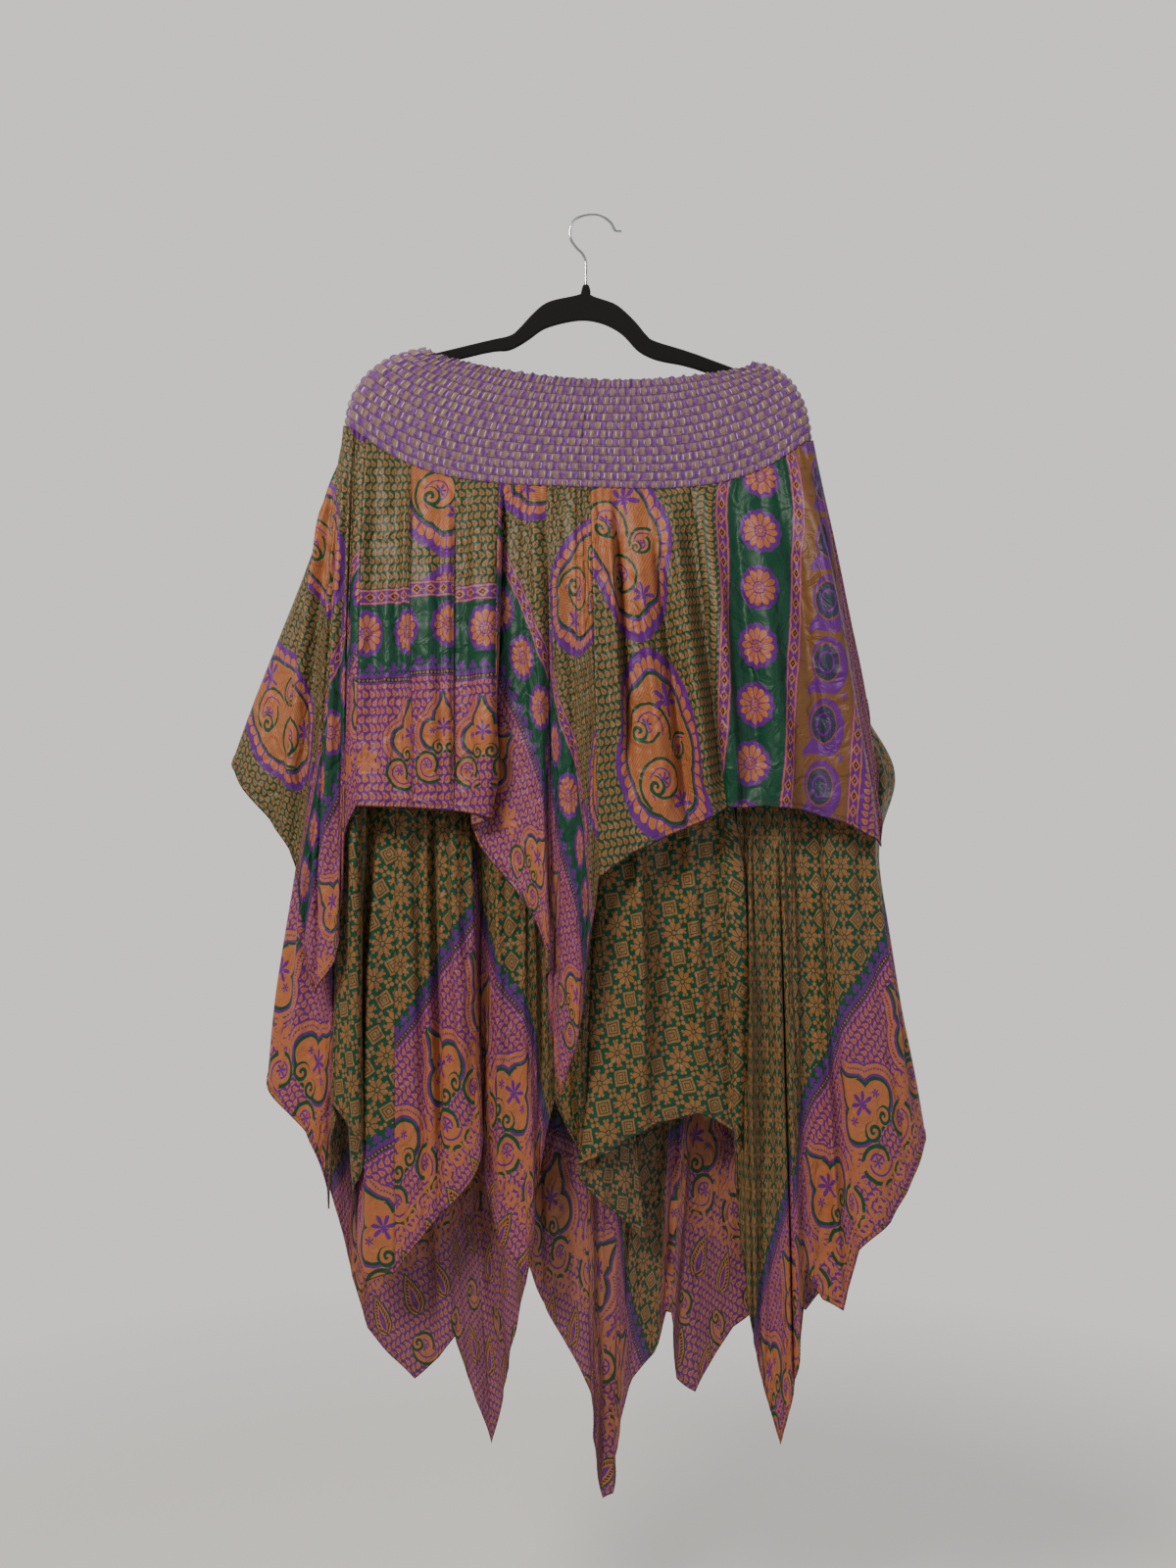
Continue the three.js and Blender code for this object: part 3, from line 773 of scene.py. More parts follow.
@dataclass(frozen=True)
class Section:
    """A flattened ring of cloth, as a level line of the band.

    Attributes:
        level: 0 at the band's top edge and 1 at the tiers' seam.
    """

    level: float

    def _mix(self, name: str, share: float) -> float:
        """A size of the band between its top and its bottom edge."""
        low, high = getattr(BAND_TOP, name), getattr(BAND_BOTTOM, name)
        return low + (high - low) * share

    @property
    def sweep(self) -> float:
        """How far out the rounded sides have come at this level."""
        return math.sin(self.level * math.pi / 2)

    @property
    def fall(self) -> float:
        """How far down the rounded sides have come at this level."""
        return 1 - math.cos(self.level * math.pi / 2)

    @property
    def centre(self) -> float:
        """The middle of the section across."""
        return (self._mix("left", self.sweep) + self._mix("right", self.sweep)) / 2

    @property
    def half_width(self) -> float:
        """Half of the section's width."""
        return (self._mix("right", self.sweep) - self._mix("left", self.sweep)) / 2

    def height(self, x: np.ndarray) -> np.ndarray:
        """The height of the section's line at each x."""
        across = np.clip((x - self.centre) / self.half_width, -1, 1)
        z_left, z_right = self._mix("z_left", self.fall), self._mix("z_right", self.fall)
        side = z_left + (z_right - z_left) * (across + 1) / 2
        dip = self._mix("z_mid", self.level) - (z_left + z_right) / 2
        return side + dip * (1 - np.abs(across) ** self._mix("fullness", self.level))

    def depth(self, x: np.ndarray) -> np.ndarray:
        """How far the section reaches to the front or back at each x."""
        flat = self.half_width - BAND_END_RADIUS
        away = np.abs(x - self.centre)
        bowed = BAND_END_RADIUS + BAND_BOW * (1 - (away / flat) ** 2)
        rounded = np.sqrt(np.maximum(BAND_END_RADIUS**2 - (away - flat) ** 2, 0))
        return np.where(away <= flat, bowed, rounded)

    def outward(self, x: np.ndarray, y: np.ndarray) -> np.ndarray:
        """The level direction straight out of the section at each point."""
        flat = self.half_width - BAND_END_RADIUS
        middle = self.centre + np.clip(x - self.centre, -flat, flat)
        way = np.stack([x - middle, y, np.zeros_like(x)], axis=-1)
        return way / np.linalg.norm(way, axis=-1, keepdims=True)

    def at(self, degrees: np.ndarray, offset: float) -> np.ndarray:
        """Points at degrees round the section from its left fold, moved straight out."""
        angle = np.radians(degrees)
        x = self.centre - self.half_width * np.cos(angle)
        y = -np.sign(np.sin(angle)) * self.depth(x)
        return np.stack([x, y, self.height(x)], axis=-1) + self.outward(x, y) * offset

    def half_ring(self, place: np.ndarray, side: int) -> np.ndarray:
        """Points from the front seam (-1) round one side (0) to the back seam (1)."""
        flat = self.half_width - BAND_END_RADIUS
        quarter = BAND_END_RADIUS * math.pi / 2
        bend = quarter / (quarter + flat)
        past = np.maximum(np.abs(place) - bend, 0)
        turn = np.clip(place / bend, -1, 1) * math.pi / 2
        x_flat = self.centre + side * flat * (1 - past / (1 - bend))
        x = np.where(past > 0, x_flat, self.centre + side * (flat + BAND_END_RADIUS * np.cos(turn)))
        y = np.where(past > 0, np.sign(place) * self.depth(x), BAND_END_RADIUS * np.sin(turn))
        return np.stack([x, y, self.height(x)], axis=-1)


# ----------------------------------------------------------------- cloth as thin shells


def normals_of(grid: np.ndarray, closed: bool) -> np.ndarray:
    """The outward unit normals of a grid whose rows go down and whose columns go right.

    Args:
        grid: rows by columns by 3.
        closed: whether the last column meets the first.

    Returns:
        An array like the grid.
    """
    down = np.gradient(grid, axis=0)
    if closed:
        along = np.roll(grid, -1, axis=1) - np.roll(grid, 1, axis=1)
    else:
        along = np.gradient(grid, axis=1)
    out = np.cross(down, along)
    return out / np.maximum(np.linalg.norm(out, axis=-1, keepdims=True), 1e-9)


def shell_mesh(
    name: str,
    outer: np.ndarray,
    inner: np.ndarray,
    print_at: tuple[np.ndarray, np.ndarray],
    materials: Sequence[bpy.types.Material],
) -> bpy.types.Object:
    """Closes two equal grids into a thin shell of cloth.

    Args:
        name: the piece's name.
        outer: the grid of the right side, in millimetres.
        inner: the grid of the wrong side.
        print_at: the print's coordinates at the left and at the right of each strip of faces.
        materials: the finish of the right side, and of the wrong side if it differs.

    Returns:
        The new object.
    """
    rows, columns = outer.shape[:2]
    count = rows * columns
    ids = np.arange(count).reshape(rows, columns)
    a, b, c, d = ids[:-1, :-1], ids[1:, :-1], ids[1:, 1:], ids[:-1, 1:]
    right_side = np.stack([a, b, c, d], axis=-1).reshape(-1, 4)
    wrong_side = np.stack([d, c, b, a], axis=-1).reshape(-1, 4) + count
    loop = np.concatenate([ids[0, :-1], ids[:-1, -1], ids[-1, :0:-1], ids[:0:-1, 0]])
    after = np.roll(loop, -1)
    rim = np.stack([loop, after, after + count, loop + count], axis=-1)
    faces = np.concatenate([right_side, wrong_side, rim])
    points = np.concatenate([outer.reshape(-1, 3), inner.reshape(-1, 3)]) * MM
    mesh = bpy.data.meshes.new(name)
    mesh.from_pydata(points.tolist(), [], faces.tolist())
    left, right = print_at
    corners = np.stack([left[:-1], left[1:], right[1:], right[:-1]], axis=2).reshape(-1, 4, 2)
    edge = np.concatenate([left, right[:, -1:]], axis=1).reshape(-1, 2)[rim % count]
    uv = np.concatenate([corners, corners[:, ::-1], edge]).astype(np.float32)
    layer = mesh.uv_layers.new(name=PRINT_UV)
    layer.data.foreach_set("uv", uv.reshape(-1))
    near_hem = steps_of(outer, 0)[::-1].cumsum(axis=0)[::-1]
    near_hem = np.concatenate([near_hem, np.zeros((1, columns))]).astype(np.float32)
    hem = mesh.attributes.new(HEM_DISTANCE, "FLOAT", "POINT")
    hem.data.foreach_set("value", np.concatenate([near_hem.reshape(-1)] * 2))
    for material in materials:
        mesh.materials.append(material)
    finish = np.zeros(len(faces), dtype=np.int32)
    finish[len(right_side) : len(right_side) + len(wrong_side)] = len(materials) - 1
    mesh.polygons.foreach_set("material_index", finish)
    smooth = np.ones(len(faces), dtype=bool)
    smooth[-len(rim) :] = False
    mesh.polygons.foreach_set("use_smooth", smooth)
    mesh.update()
    return in_scene(name, mesh)


def in_scene(name: str, data: bpy.types.ID) -> bpy.types.Object:
    """Makes an object of some data and puts it in the scene."""
    made = bpy.data.objects.new(name, data)
    bpy.context.scene.collection.objects.link(made)
    return made


def settle(piece: bpy.types.Object, node: str | None = None) -> bpy.types.Object:
    """Gives a piece its body and the node that it stands for, and reports it.

    Args:
        piece: the object.
        node: the frame's node that it replaces, if any.

    Returns:
        The piece.
    """
    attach(piece, "root")
    if node:
        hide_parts(node)
    LOG.info("%s: %d faces", piece.name, len(piece.data.polygons))
    return piece


def steps_of(grid: np.ndarray, axis: int) -> np.ndarray:
    """The lengths of a grid's steps along one of its axes."""
    return np.linalg.norm(np.diff(grid, axis=axis), axis=-1)


def run_along(line: np.ndarray) -> np.ndarray:
    """How far along a line of points each one is from the first."""
    return np.concatenate([[0], np.cumsum(steps_of(line, 0))])


def draw_in(grid: np.ndarray, gap: float) -> None:
    """Draws a grid's two sides in by half of a seam's gap."""
    for end, beside in ((0, 1), (-1, -2)):
        way = grid[:, beside] - grid[:, end]
        size = np.maximum(np.linalg.norm(way, axis=-1, keepdims=True), 1e-6)
        grid[:, end] += way / size * np.minimum(gap / 2, size * 0.45)


def waves(along: np.ndarray, *parts: tuple[float, float, float]) -> np.ndarray:
    """The sum of sine waves, each given by its height, its length in radians and its phase."""
    return sum(height * np.sin(along / length + phase) for height, length, phase in parts)


def area_of(grid: np.ndarray) -> float:
    """The area of a grid, in its own unit squared."""
    first = np.cross(grid[1:, :-1] - grid[:-1, :-1], grid[1:, 1:] - grid[:-1, :-1])
    second = np.cross(grid[1:, 1:] - grid[:-1, :-1], grid[:-1, 1:] - grid[:-1, :-1])
    return float(np.linalg.norm(first, axis=-1).sum() + np.linalg.norm(second, axis=-1).sum()) / 2


# The least share of its flat cut that a slanted panel fills.
LEAST_USED = 0.34


def cut_out(
    piece: bpy.types.Object,
    outer: np.ndarray,
    inner: np.ndarray,
) -> None:
    """States the flat cut that a piece of cloth was made from.

    Args:
        piece: the cloth.
        outer: the grid of its right side, in millimetres.
        inner: the grid of its wrong side.
    """
    middle = (outer + inner) / 2
    wide = float(steps_of(middle, 1).sum(axis=1).max())
    long = float(steps_of(middle, 0).sum(axis=0).max())
    area = (area_of(outer) + area_of(inner)) / 2
    wide = min(wide, area / (LEAST_USED * long))
    LOG.info("%s: cut %.0f by %.0f mm, %.0f%% of it used", piece.name, wide, long, 100 * area / wide / long)


# ------------------------------------------------------------------------- the tiers


class Fold(NamedTuple):
    """Where a fold leaves the band, in degrees from its left fold, and where it meets the hem."""

    at: float
    x: float
    y: float
    z: float


class Panel(NamedTuple):
    """A sewn panel between two folds."""

    name: str
    start: float
    end: float


class Lay(NamedTuple):
    """How the print lies on a stretch of a tier.

    A point of the print (p, q) sits on the cloth where it hangs at x and z, and the
    print's strips are turned by some degrees, clockwise as seen from outside.
    """

    start: float
    end: float
    x: float
    z: float
    p: float
    q: float
    turn: float


class Crease(NamedTuple):
    """A soft ridge (height above 0) or trough that runs down the cloth.

    It starts at some degrees round the tier, drifts by some degrees on its way down, shows
    between two shares of the cloth's length, and is so wide and so high in millimetres.
    """

    at: float
    drift: float
    top: float
    bottom: float
    width: float
    height: float


UPPER_FOLDS = [
    Fold(-20, -329, 14, -500),
    Fold(-13, -339, -4, -521),
    Fold(-7, -288, -30, -574),
    Fold(-1, -270, -30, -612),
    Fold(5, -258, -42, -725),
    Fold(11, -228, -50, -693),
    Fold(17, -226, -38, -579),
    Fold(23, -216, -62, -553),
    Fold(33, -187, -54, -554),
    Fold(47, -153, -66, -555),
    Fold(60, -119, -58, -558),
    Fold(70, -87, -70, -564),
    Fold(73, -114, -50, -575),
    Fold(75.5, -66, -56, -629),
    Fold(78.5, -33, -68, -695),
    Fold(82, -41, -51, -707),
    Fold(85.5, -30, -58, -816),
    Fold(89, -11, -54, -767),
    Fold(93, 4, -64, -618),
    Fold(99, 39, -54, -595),
    Fold(105, 71, -66, -579),
    Fold(111, 98, -56, -568),
    Fold(119, 126, -68, -554),
    Fold(127, 134, -48, -555),
    Fold(134, 158, -60, -553),
    Fold(145, 192, -50, -557),
    Fold(156, 227, -60, -568),
    Fold(168, 267, -50, -590),
    Fold(176, 254, -16, -458),
    Fold(183, 252, 10, -440),
    Fold(190, 253, 38, -523),
    Fold(197, 227, 46, -652),
    Fold(205, 192, 54, -606),
    Fold(214, 187, 40, -560),
    Fold(224, 154, 56, -557),
    Fold(234, 121, 44, -555),
    Fold(244, 89, 58, -560),
    Fold(252, 60, 42, -606),
    Fold(260, 34, 54, -703),
    Fold(266, 8, 50, -795),
    Fold(272, -12, 42, -680),
    Fold(280, -40, 56, -606),
    Fold(290, -76, 44, -574),
    Fold(301, -115, 58, -558),
    Fold(311, -150, 42, -555),
    Fold(317, -187, 54, -569),
    Fold(324, -224, 44, -629),
    Fold(331, -262, 50, -680),
    Fold(336, -296, 34, -579),
]

LOWER_FOLDS = [
    Fold(-18, -297, 10, -795),
    Fold(-10, -305, -6, -818),
    Fold(-3, -262, -22, -855),
    Fold(4, -240, -19, -926),
    Fold(11, -240, -29, -829),
    Fold(20, -207, -35, -864),
    Fold(28, -222, -11, -933),
    Fold(33, -210, -21, -993),
    Fold(38, -185, -28, -984),
    Fold(48, -136, -26, -930),
    Fold(58, -98, -35, -880),
    Fold(63, -108, -9, -818),
    Fold(67.5, -94, -18, -926),
    Fold(72, -80, -26, -965),
    Fold(75, -59, -31, -986),
    Fold(78, -50, -22, -930),
    Fold(81, -43, -13, -827),
    Fold(85, 20, -11, -924),
    Fold(90, 60, -18, -959),
    Fold(95, -25, -30, -893),
    Fold(100, 14, -38, -871),
    Fold(106, 54, -31, -847),
    Fold(116, 104, -26, -836),
    Fold(124, 137, -33, -859),
    Fold(129, 132, -21, -878),
    Fold(134, 142, -26, -993),
    Fold(138, 154, -30, -1075),
    Fold(142, 175, -24, -1142),
    Fold(147, 192, -34, -1071),
    Fold(151, 198, -14, -983),
    Fold(156, 213, -20, -1011),
    Fold(160, 238, -15, -1020),
    Fold(163, 242, -30, -963),
    Fold(168, 278, -26, -937),
    Fold(174, 312, -14, -868),
    Fold(186, 301, 14, -845),
    Fold(191, 273, 24, -928),
    Fold(197, 235, 14, -993),
    Fold(204, 205, 26, -1034),
    Fold(211, 172, 16, -1020),
    Fold(218, 137, 22, -1050),
    Fold(223, 95, 28, -1113),
    Fold(226, 81, 20, -1099),
    Fold(230, 77, 12, -1034),
    Fold(234, 71, 24, -1035),
    Fold(240, 63, 18, -1073),
    Fold(247, 37, 26, -1100),
    Fold(253, 27, 16, -1140),
    Fold(258, 22, 26, -1210),
    Fold(262, 10, 30, -1216),
    Fold(266, 4, 22, -1177),
    Fold(270, 3, 14, -1112),
    Fold(276, -19, 24, -1074),
    Fold(283, -43, 16, -1034),
    Fold(290, -60, 27, -993),
    Fold(296, -68, 12, -1036),
    Fold(302, -76, 22, -1072),
    Fold(308, -86, 28, -1127),
    Fold(313, -94, 22, -1162),
    Fold(317, -109, 26, -1119),
    Fold(320, -131, 16, -1058),
    Fold(324, -145, 22, -1080),
    Fold(328, -167, 28, -1100),
    Fold(331, -196, 22, -1075),
    Fold(334, -214, 26, -1052),
    Fold(336.5, -226, 20, -1002),
    Fold(339, -251, 22, -901),
]

UPPER_PANELS = [
    Panel("upper_front_1", -20, 23),
    Panel("upper_front_2", 23, 70),
    Panel("upper_front_3", 70, 93),
    Panel("upper_front_4", 93, 119),
    Panel("upper_front_5", 119, 183),
    Panel("upper_back_1", 183, 224),
    Panel("upper_back_2", 224, 272),
    Panel("upper_back_3", 272, 311),
    Panel("upper_back_4", 311, 340),
]

LOWER_PANELS = [
    Panel("lower_front_1", -18, 38),
    Panel("lower_front_2", 38, 81),
    Panel("lower_front_3", 81, 124),
    Panel("lower_front_4", 124, 186),
    Panel("lower_back_1", 186, 230),
    Panel("lower_back_2", 230, 270),
    Panel("lower_back_3", 270, 313),
    Panel("lower_back_4", 313, 342),
]

UPPER_LAYS = [
    Lay(-20, 23, -233, -411, -18, 0, -56),
    Lay(23, 43, -205, -397, 297, 41, -1),
    Lay(43, 57, -125, -389, 27, 41, -2),
    Lay(57, 70, -62, -393, 136, 41, -3),
    Lay(70, 82, -32, -424, 0, 7, 58),
    Lay(82, 93, -8, -551, 0, 7, 60),
    Lay(93, 119, 63, -502, 25, -303, -8),
    Lay(119, 183, 155, -300, 27, 32, -81.5),
    Lay(183, 224, 190, -450, 28, 50, -20),
    Lay(224, 272, 60, -400, 28, 60, 12),
    Lay(272, 311, -80, -420, 25, -103, 10),
    Lay(311, 340, -240, -430, 28, 50, 30),
]

LOWER_LAYS = [
    Lay(-18, 4, -260, -666, 0, 15, 50),
    Lay(4, 26, -214, -717, 0, -230, -12),
    Lay(26, 38, -196, -872, 30, 15, -30),
    Lay(38, 63, -144, -718, 41.5, 15, -40),
    Lay(63, 81, -81, -726, -68, 15, 40),
    Lay(81, 124, 43, -717, 0, -230, -12),
    Lay(124, 147, 172, -951, 0, 15, -44),
    Lay(147, 186, 236, -748, 48.8, 15, -44),
    Lay(186, 230, 180, -850, 0, 20, -20),
    Lay(230, 238, 50, -900, 34, 40, 8),
    Lay(238, 270, 30, -953, 0, 10, -51),
    Lay(270, 313, -50, -900, 34, 60, -15),
    Lay(313, 342, -180, -850, 0, 30, 25),
]

UPPER_CREASES = [
    Crease(-9, 4, 0.05, 0.95, 9, 4),
    Crease(2, 3, 0.15, 1.0, 7, -4),
    Crease(9, -2, 0.0, 0.8, 8, 3),
    Crease(28, 2, 0.1, 0.9, 12, -2.5),
    Crease(42.4, 0.2, 0.0, 1.0, 4, 3.4),
    Crease(43.6, 0.2, 0.0, 1.0, 2.6, -3),
    Crease(56.4, 0.1, 0.0, 1.0, 4, 3.4),
    Crease(57.6, 0.1, 0.0, 1.0, 2.6, -3),
    Crease(36, -2, 0.3, 1.0, 7, 3),
    Crease(50, 1, 0.2, 1.0, 6, 2),
    Crease(64, 2, 0.0, 0.9, 8, 3),
    Crease(69.3, 0.2, 0.0, 1.0, 5, 2.5),
    Crease(71.6, 0.2, 0.0, 1.0, 5, -4.5),
    Crease(97, 1, 0.05, 0.7, 5, 4),
    Crease(99, 0, 0.0, 0.8, 5, -4),
    Crease(103, 2, 0.2, 1.0, 6, 3),
    Crease(108, 1, 0.1, 1.0, 6, -5),
    Crease(113, 1, 0.0, 1.0, 5, 5),
    Crease(117.6, 0.3, 0.0, 1.0, 5, -4.5),
    Crease(124, -1, 0.2, 1.0, 6, 3),
    Crease(131, 2, 0.0, 0.9, 7, -3),
    Crease(139, 1, 0.1, 1.0, 12, 3),
    Crease(150, 2, 0.1, 0.9, 10, -3),
    Crease(162, 2, 0.1, 1.0, 12, 3),
    Crease(192, -3, 0.1, 1.0, 10, 3),
    Crease(208, 2, 0.2, 0.9, 8, -3),
    Crease(229, 2, 0.1, 1.0, 10, 3),
    Crease(241, -2, 0.2, 1.0, 7, -3),
    Crease(256, 1, 0.0, 0.8, 8, 4),
    Crease(277, -2, 0.1, 1.0, 9, 3),
    Crease(295, 2, 0.2, 0.9, 7, -3),
    Crease(306, 1, 0.1, 1.0, 8, 3),
    Crease(327, -1, 0.2, 1.0, 10, -3),
]

LOWER_CREASES = [
    Crease(-8, 3, 0.3, 0.95, 9, 3),
    Crease(8, 2, 0.4, 1.0, 8, -3),
    Crease(16, 2, 0.4, 1.0, 9, 4),
    Crease(34, -1, 0.45, 0.95, 8, 3),
    Crease(24, 1, 0.35, 1.0, 7, -5),
    Crease(43, 2, 0.4, 1.0, 7, -3),
    Crease(48, 0, 0.35, 1.0, 6, -5),
    Crease(61, 0.5, 0.35, 1.0, 7, -6),
    Crease(53, 1, 0.4, 0.9, 9, 4),
    Crease(70, 1, 0.4, 1.0, 6, 3),
    Crease(98, -1, 0.4, 1.0, 8, -3),
    Crease(103, 2, 0.4, 1.0, 9, 4),
    Crease(109, 1, 0.5, 0.9, 12, -3),
    Crease(92, 1, 0.35, 1.0, 7, -4),
    Crease(114, 3, 0.4, 1.0, 8, 3),
    Crease(121, 1, 0.4, 1.0, 8, -3),
    Crease(127, 0, 0.4, 1.0, 5, 5),
    Crease(131, 0, 0.4, 1.0, 5, -6),
    Crease(136, 1, 0.4, 1.0, 6, 4),
    Crease(145, 1, 0.4, 1.0, 7, -5),
    Crease(158, 2, 0.4, 1.0, 8, 3),
    Crease(170, 2, 0.4, 0.95, 10, 3),
    Crease(194, 2, 0.4, 1.0, 9, -3),
    Crease(208, 1, 0.4, 1.0, 8, 3),
    Crease(237, 2, 0.4, 1.0, 7, -3),
    Crease(250, 1, 0.4, 0.9, 8, 3),
    Crease(286, -2, 0.4, 1.0, 8, 3),
    Crease(305, 1, 0.4, 1.0, 7, -3),
    Crease(323, 2, 0.4, 1.0, 8, 3),
]


@dataclass(frozen=True)
class SideSwing:
    """Where a tier's fullness swings out at the right, in millimetres and degrees."""

    reach: float
    z: float
    height: float
    start: float = 160.0
    end: float = 196.0

    def at(self, degrees: np.ndarray, z: np.ndarray) -> np.ndarray:
        """How far the cloth swings out at degrees round the tier and at a height."""
        turn = np.clip((degrees - self.start) / (self.end - self.start), 0, 1)
        return self.reach * np.sin(np.pi * turn) * np.exp(-(((z - self.z) / self.height) ** 2))


@dataclass
class HandkerchiefTier:
    """One ring of panels, gathered into the band, with corners that hang as points.

    Attributes:
        folds: the folds in order round the band.
        panels: the panels in order.
        lays: how the print lies on each stretch.
        creases: soft ridges and troughs down the cloth.
        offset: how far outside the band's inner line the cloth is sewn.
        spread: the drop over which the cloth fills out to the hem's depth.
        rows: rows of points down the cloth.
        swing: the side's swing.
        slot: the record's material slot; not used.
        spacing: the hem's longest step on the front, in millimetres.
        back_spacing: the same on the back.
        longest_step: the longest step round the band before the lines are refined, in degrees.
        top_gap: how far under the band's last row the cloth starts.
        crowding: how far the rows crowd towards the seam.
        softness: how far the folds are rounded, from 0 to 1.
        thickness: the cloth's drawn thickness.
        hem: the length of cloth whose rows lie close for the turned hem.
        roll: how far the turned hem stands out.
        roll_width: how wide it is.
        seam_gap: the gap between two panels at their seam.
        gather_pitch: the fine gathers' spacing at the seam.
        gather_height: their height.
        pucker: the broader puckers' height.
        pucker_pitch: their spacing.
        pucker_start: the drop over which they fade in.
        pucker_reach: the drop over which they fade out.
        depth: how many times its stated height a crease gets.
        crease_fade: the share of the length over which a crease fades in or out.
        gathered_share: how far the print is drawn in with the gathers.
        calm_share: the share of the rows down to the one that the print is measured on.
        columns: the cloth's lines, once they are worked out.
        pieces: the panels, once they are built.
    """

    folds: Sequence[Fold]
    panels: Sequence[Panel]
    lays: Sequence[Lay]
    creases: Sequence[Crease]
    offset: float
    spread: float
    rows: int
    swing: SideSwing
    slot: str
    spacing: float = 3.8
    back_spacing: float = 6.0
    longest_step: float = 5.0
    top_gap: float = 0.45
    crowding: float = 1.25
    softness: float = 0.5
    thickness: float = 0.9
    hem: float = 7.0
    roll: float = 0.55
    roll_width: float = 5.2
    seam_gap: float = 0.1
    gather_pitch: float = 6.4
    gather_height: float = 2.6
    pucker: float = 3.6
    pucker_pitch: float = 19.5
    pucker_start: float = 18.0
    pucker_reach: float = 95.0
    depth: float = 2.6
    crease_fade: float = 0.18
    gathered_share: float = 0.12
    calm_share: float = 0.72
    columns: dict[str, np.ndarray] = field(default_factory=dict)
    pieces: list[bpy.types.Object] = field(default_factory=list)

    def build(self, cloths: Mapping[str, Sequence[bpy.types.Material]]) -> list[bpy.types.Object]:
        """Builds every panel and its hem's stitches.

        Args:
            cloths: right and wrong side finishes by panel name, and under "" for the rest.

        Returns:
            The panels.
        """
        self.columns = self._columns()
        middle, normal, down = self._hung()
        for panel in self.panels:
            cut = self._span(panel.start, panel.end)
            sheet, out = middle[:, cut], normal[:, cut]
            draw_in(sheet, self.seam_gap)
            finish = cloths.get(panel.name, cloths[""])
            half = out * self.thickness / 2
            outer, inner = sheet + half + out * self._hem_roll(down[:, cut]), sheet - half
            piece = shell_mesh(panel.name + "_cloth", outer, inner, self._print(middle, cut), finish)
            settle(piece, panel.name)
            stitches = self._stitches(panel, outer, out, down[:, cut])
            cut_out(piece, outer, inner)
            self.pieces.append(piece)
        return self.pieces

    def _pick(self, index: int) -> Fold:
        """A fold by its place round the ring, past either end too."""
        turn, place = divmod(index, len(self.folds))
        fold = self.folds[place]
        return fold._replace(at=fold.at + 360 * turn)

    def _doubles_back(self, here: Fold, after: Fold) -> bool:
        """Whether the hem runs against the way round the band between two folds."""
        middle = math.radians((here.at + after.at) / 2)
        return (after.x - here.x) * math.sin(middle) < 0

    def _columns(self) -> dict[str, np.ndarray]:
        """The lines of cloth round the tier: the folds, rounded, and what lies between them."""
        rough: list[tuple[float, float, float, float]] = []
        for i in range(len(self.folds)):
            near = [self._pick(i + k) for k in (-1, 0, 1, 2)]
            here, after = near[1:3]
            turning = any(self._doubles_back(*pair) for pair in zip(near, near[1:]))
            steps = max(math.ceil((after.at - here.at) / self.longest_step), 3 if turning else 2)
            for step in range(steps):
                t = step / steps
                x, y = (through_four(*(getattr(fold, axis) for fold in near), t) for axis in ("x", "y"))
                rough.append((here.at + (after.at - here.at) * t, x, y, here.z + (after.z - here.z) * t))
        table = np.array(rough)
        for _ in range(2):
            beside = (np.roll(table, 1, axis=0) + np.roll(table, -1, axis=0)) / 2
            table[:, 1:3] += (beside[:, 1:3] - table[:, 1:3]) * self.softness
        return self._refined(table)

    def _refined(self, table: np.ndarray) -> dict[str, np.ndarray]:
        """Adds lines between the rounded ones until the hem's steps are short."""
        fine: list[np.ndarray] = []
        count = len(table)
        for i in range(count):
            before, here, after, last = (table[(i + k) % count].copy() for k in (-1, 0, 1, 2))
            after[0] += 360 if i == count - 1 else 0
            spacing = self.spacing if 0 <= here[0] <= 180 else self.back_spacing
            long = math.hypot(after[1] - here[1], after[2] - here[2], (after[3] - here[3]) * 0.5)
            steps = max(1, math.ceil(long / spacing))
            for step in range(steps):
                t = step / steps
                line = here + (after - here) * t
                line[1:3] = [through_four(before[k], here[k], after[k], last[k], t) for k in (1, 2)]
                fine.append(line)
        grid = np.array(fine)
        return {"at": grid[:, 0], "x": grid[:, 1], "y": grid[:, 2], "z": grid[:, 3]}

    def _hung(self) -> tuple[np.ndarray, np.ndarray, np.ndarray]:
        """Hangs the cloth from the band.

        Returns:
            The middle of the cloth, its outward normals, and how far down the cloth each
            point is, all as grids of rows by columns.
        """
        at, hem_z = self.columns["at"], self.columns["z"]
        top = Section(1.0).at(at, self.offset)
        top[:, 2] -= self.top_gap
        length = top[:, 2] - hem_z
        shares = (np.arange(self.rows + 1) / self.rows) ** self.crowding
        drop = shares[:, None] * (length - self.hem)[None, :]
        hem_rows = np.array([1.5, 3.0, 4.5, 6.0, self.hem])[:, None]
        drop = np.concatenate([drop, (length - self.hem)[None, :] + hem_rows])
        filled = (1 - np.exp(-drop / self.spread)) / (1 - np.exp(-length / self.spread))
        share = drop / length
        z = top[:, 2] - drop
        x = top[:, 0] + (self.columns["x"] - top[:, 0]) * share + self.swing.at(at[None, :], z)
        y = top[:, 1] + (self.columns["y"] - top[:, 1]) * filled
        grid = np.stack([x, y, z], axis=-1)
        normal = normals_of(grid, closed=True)
        grid = grid + normal * self._relief(grid, share, drop)[..., None]
        return grid, normals_of(grid, closed=True), self._down(grid)

    @staticmethod
    def _down(grid: np.ndarray) -> np.ndarray:
        """How far down the cloth each point of a grid is."""
        return np.concatenate([np.zeros((1, grid.shape[1])), np.cumsum(steps_of(grid, 0), axis=0)])

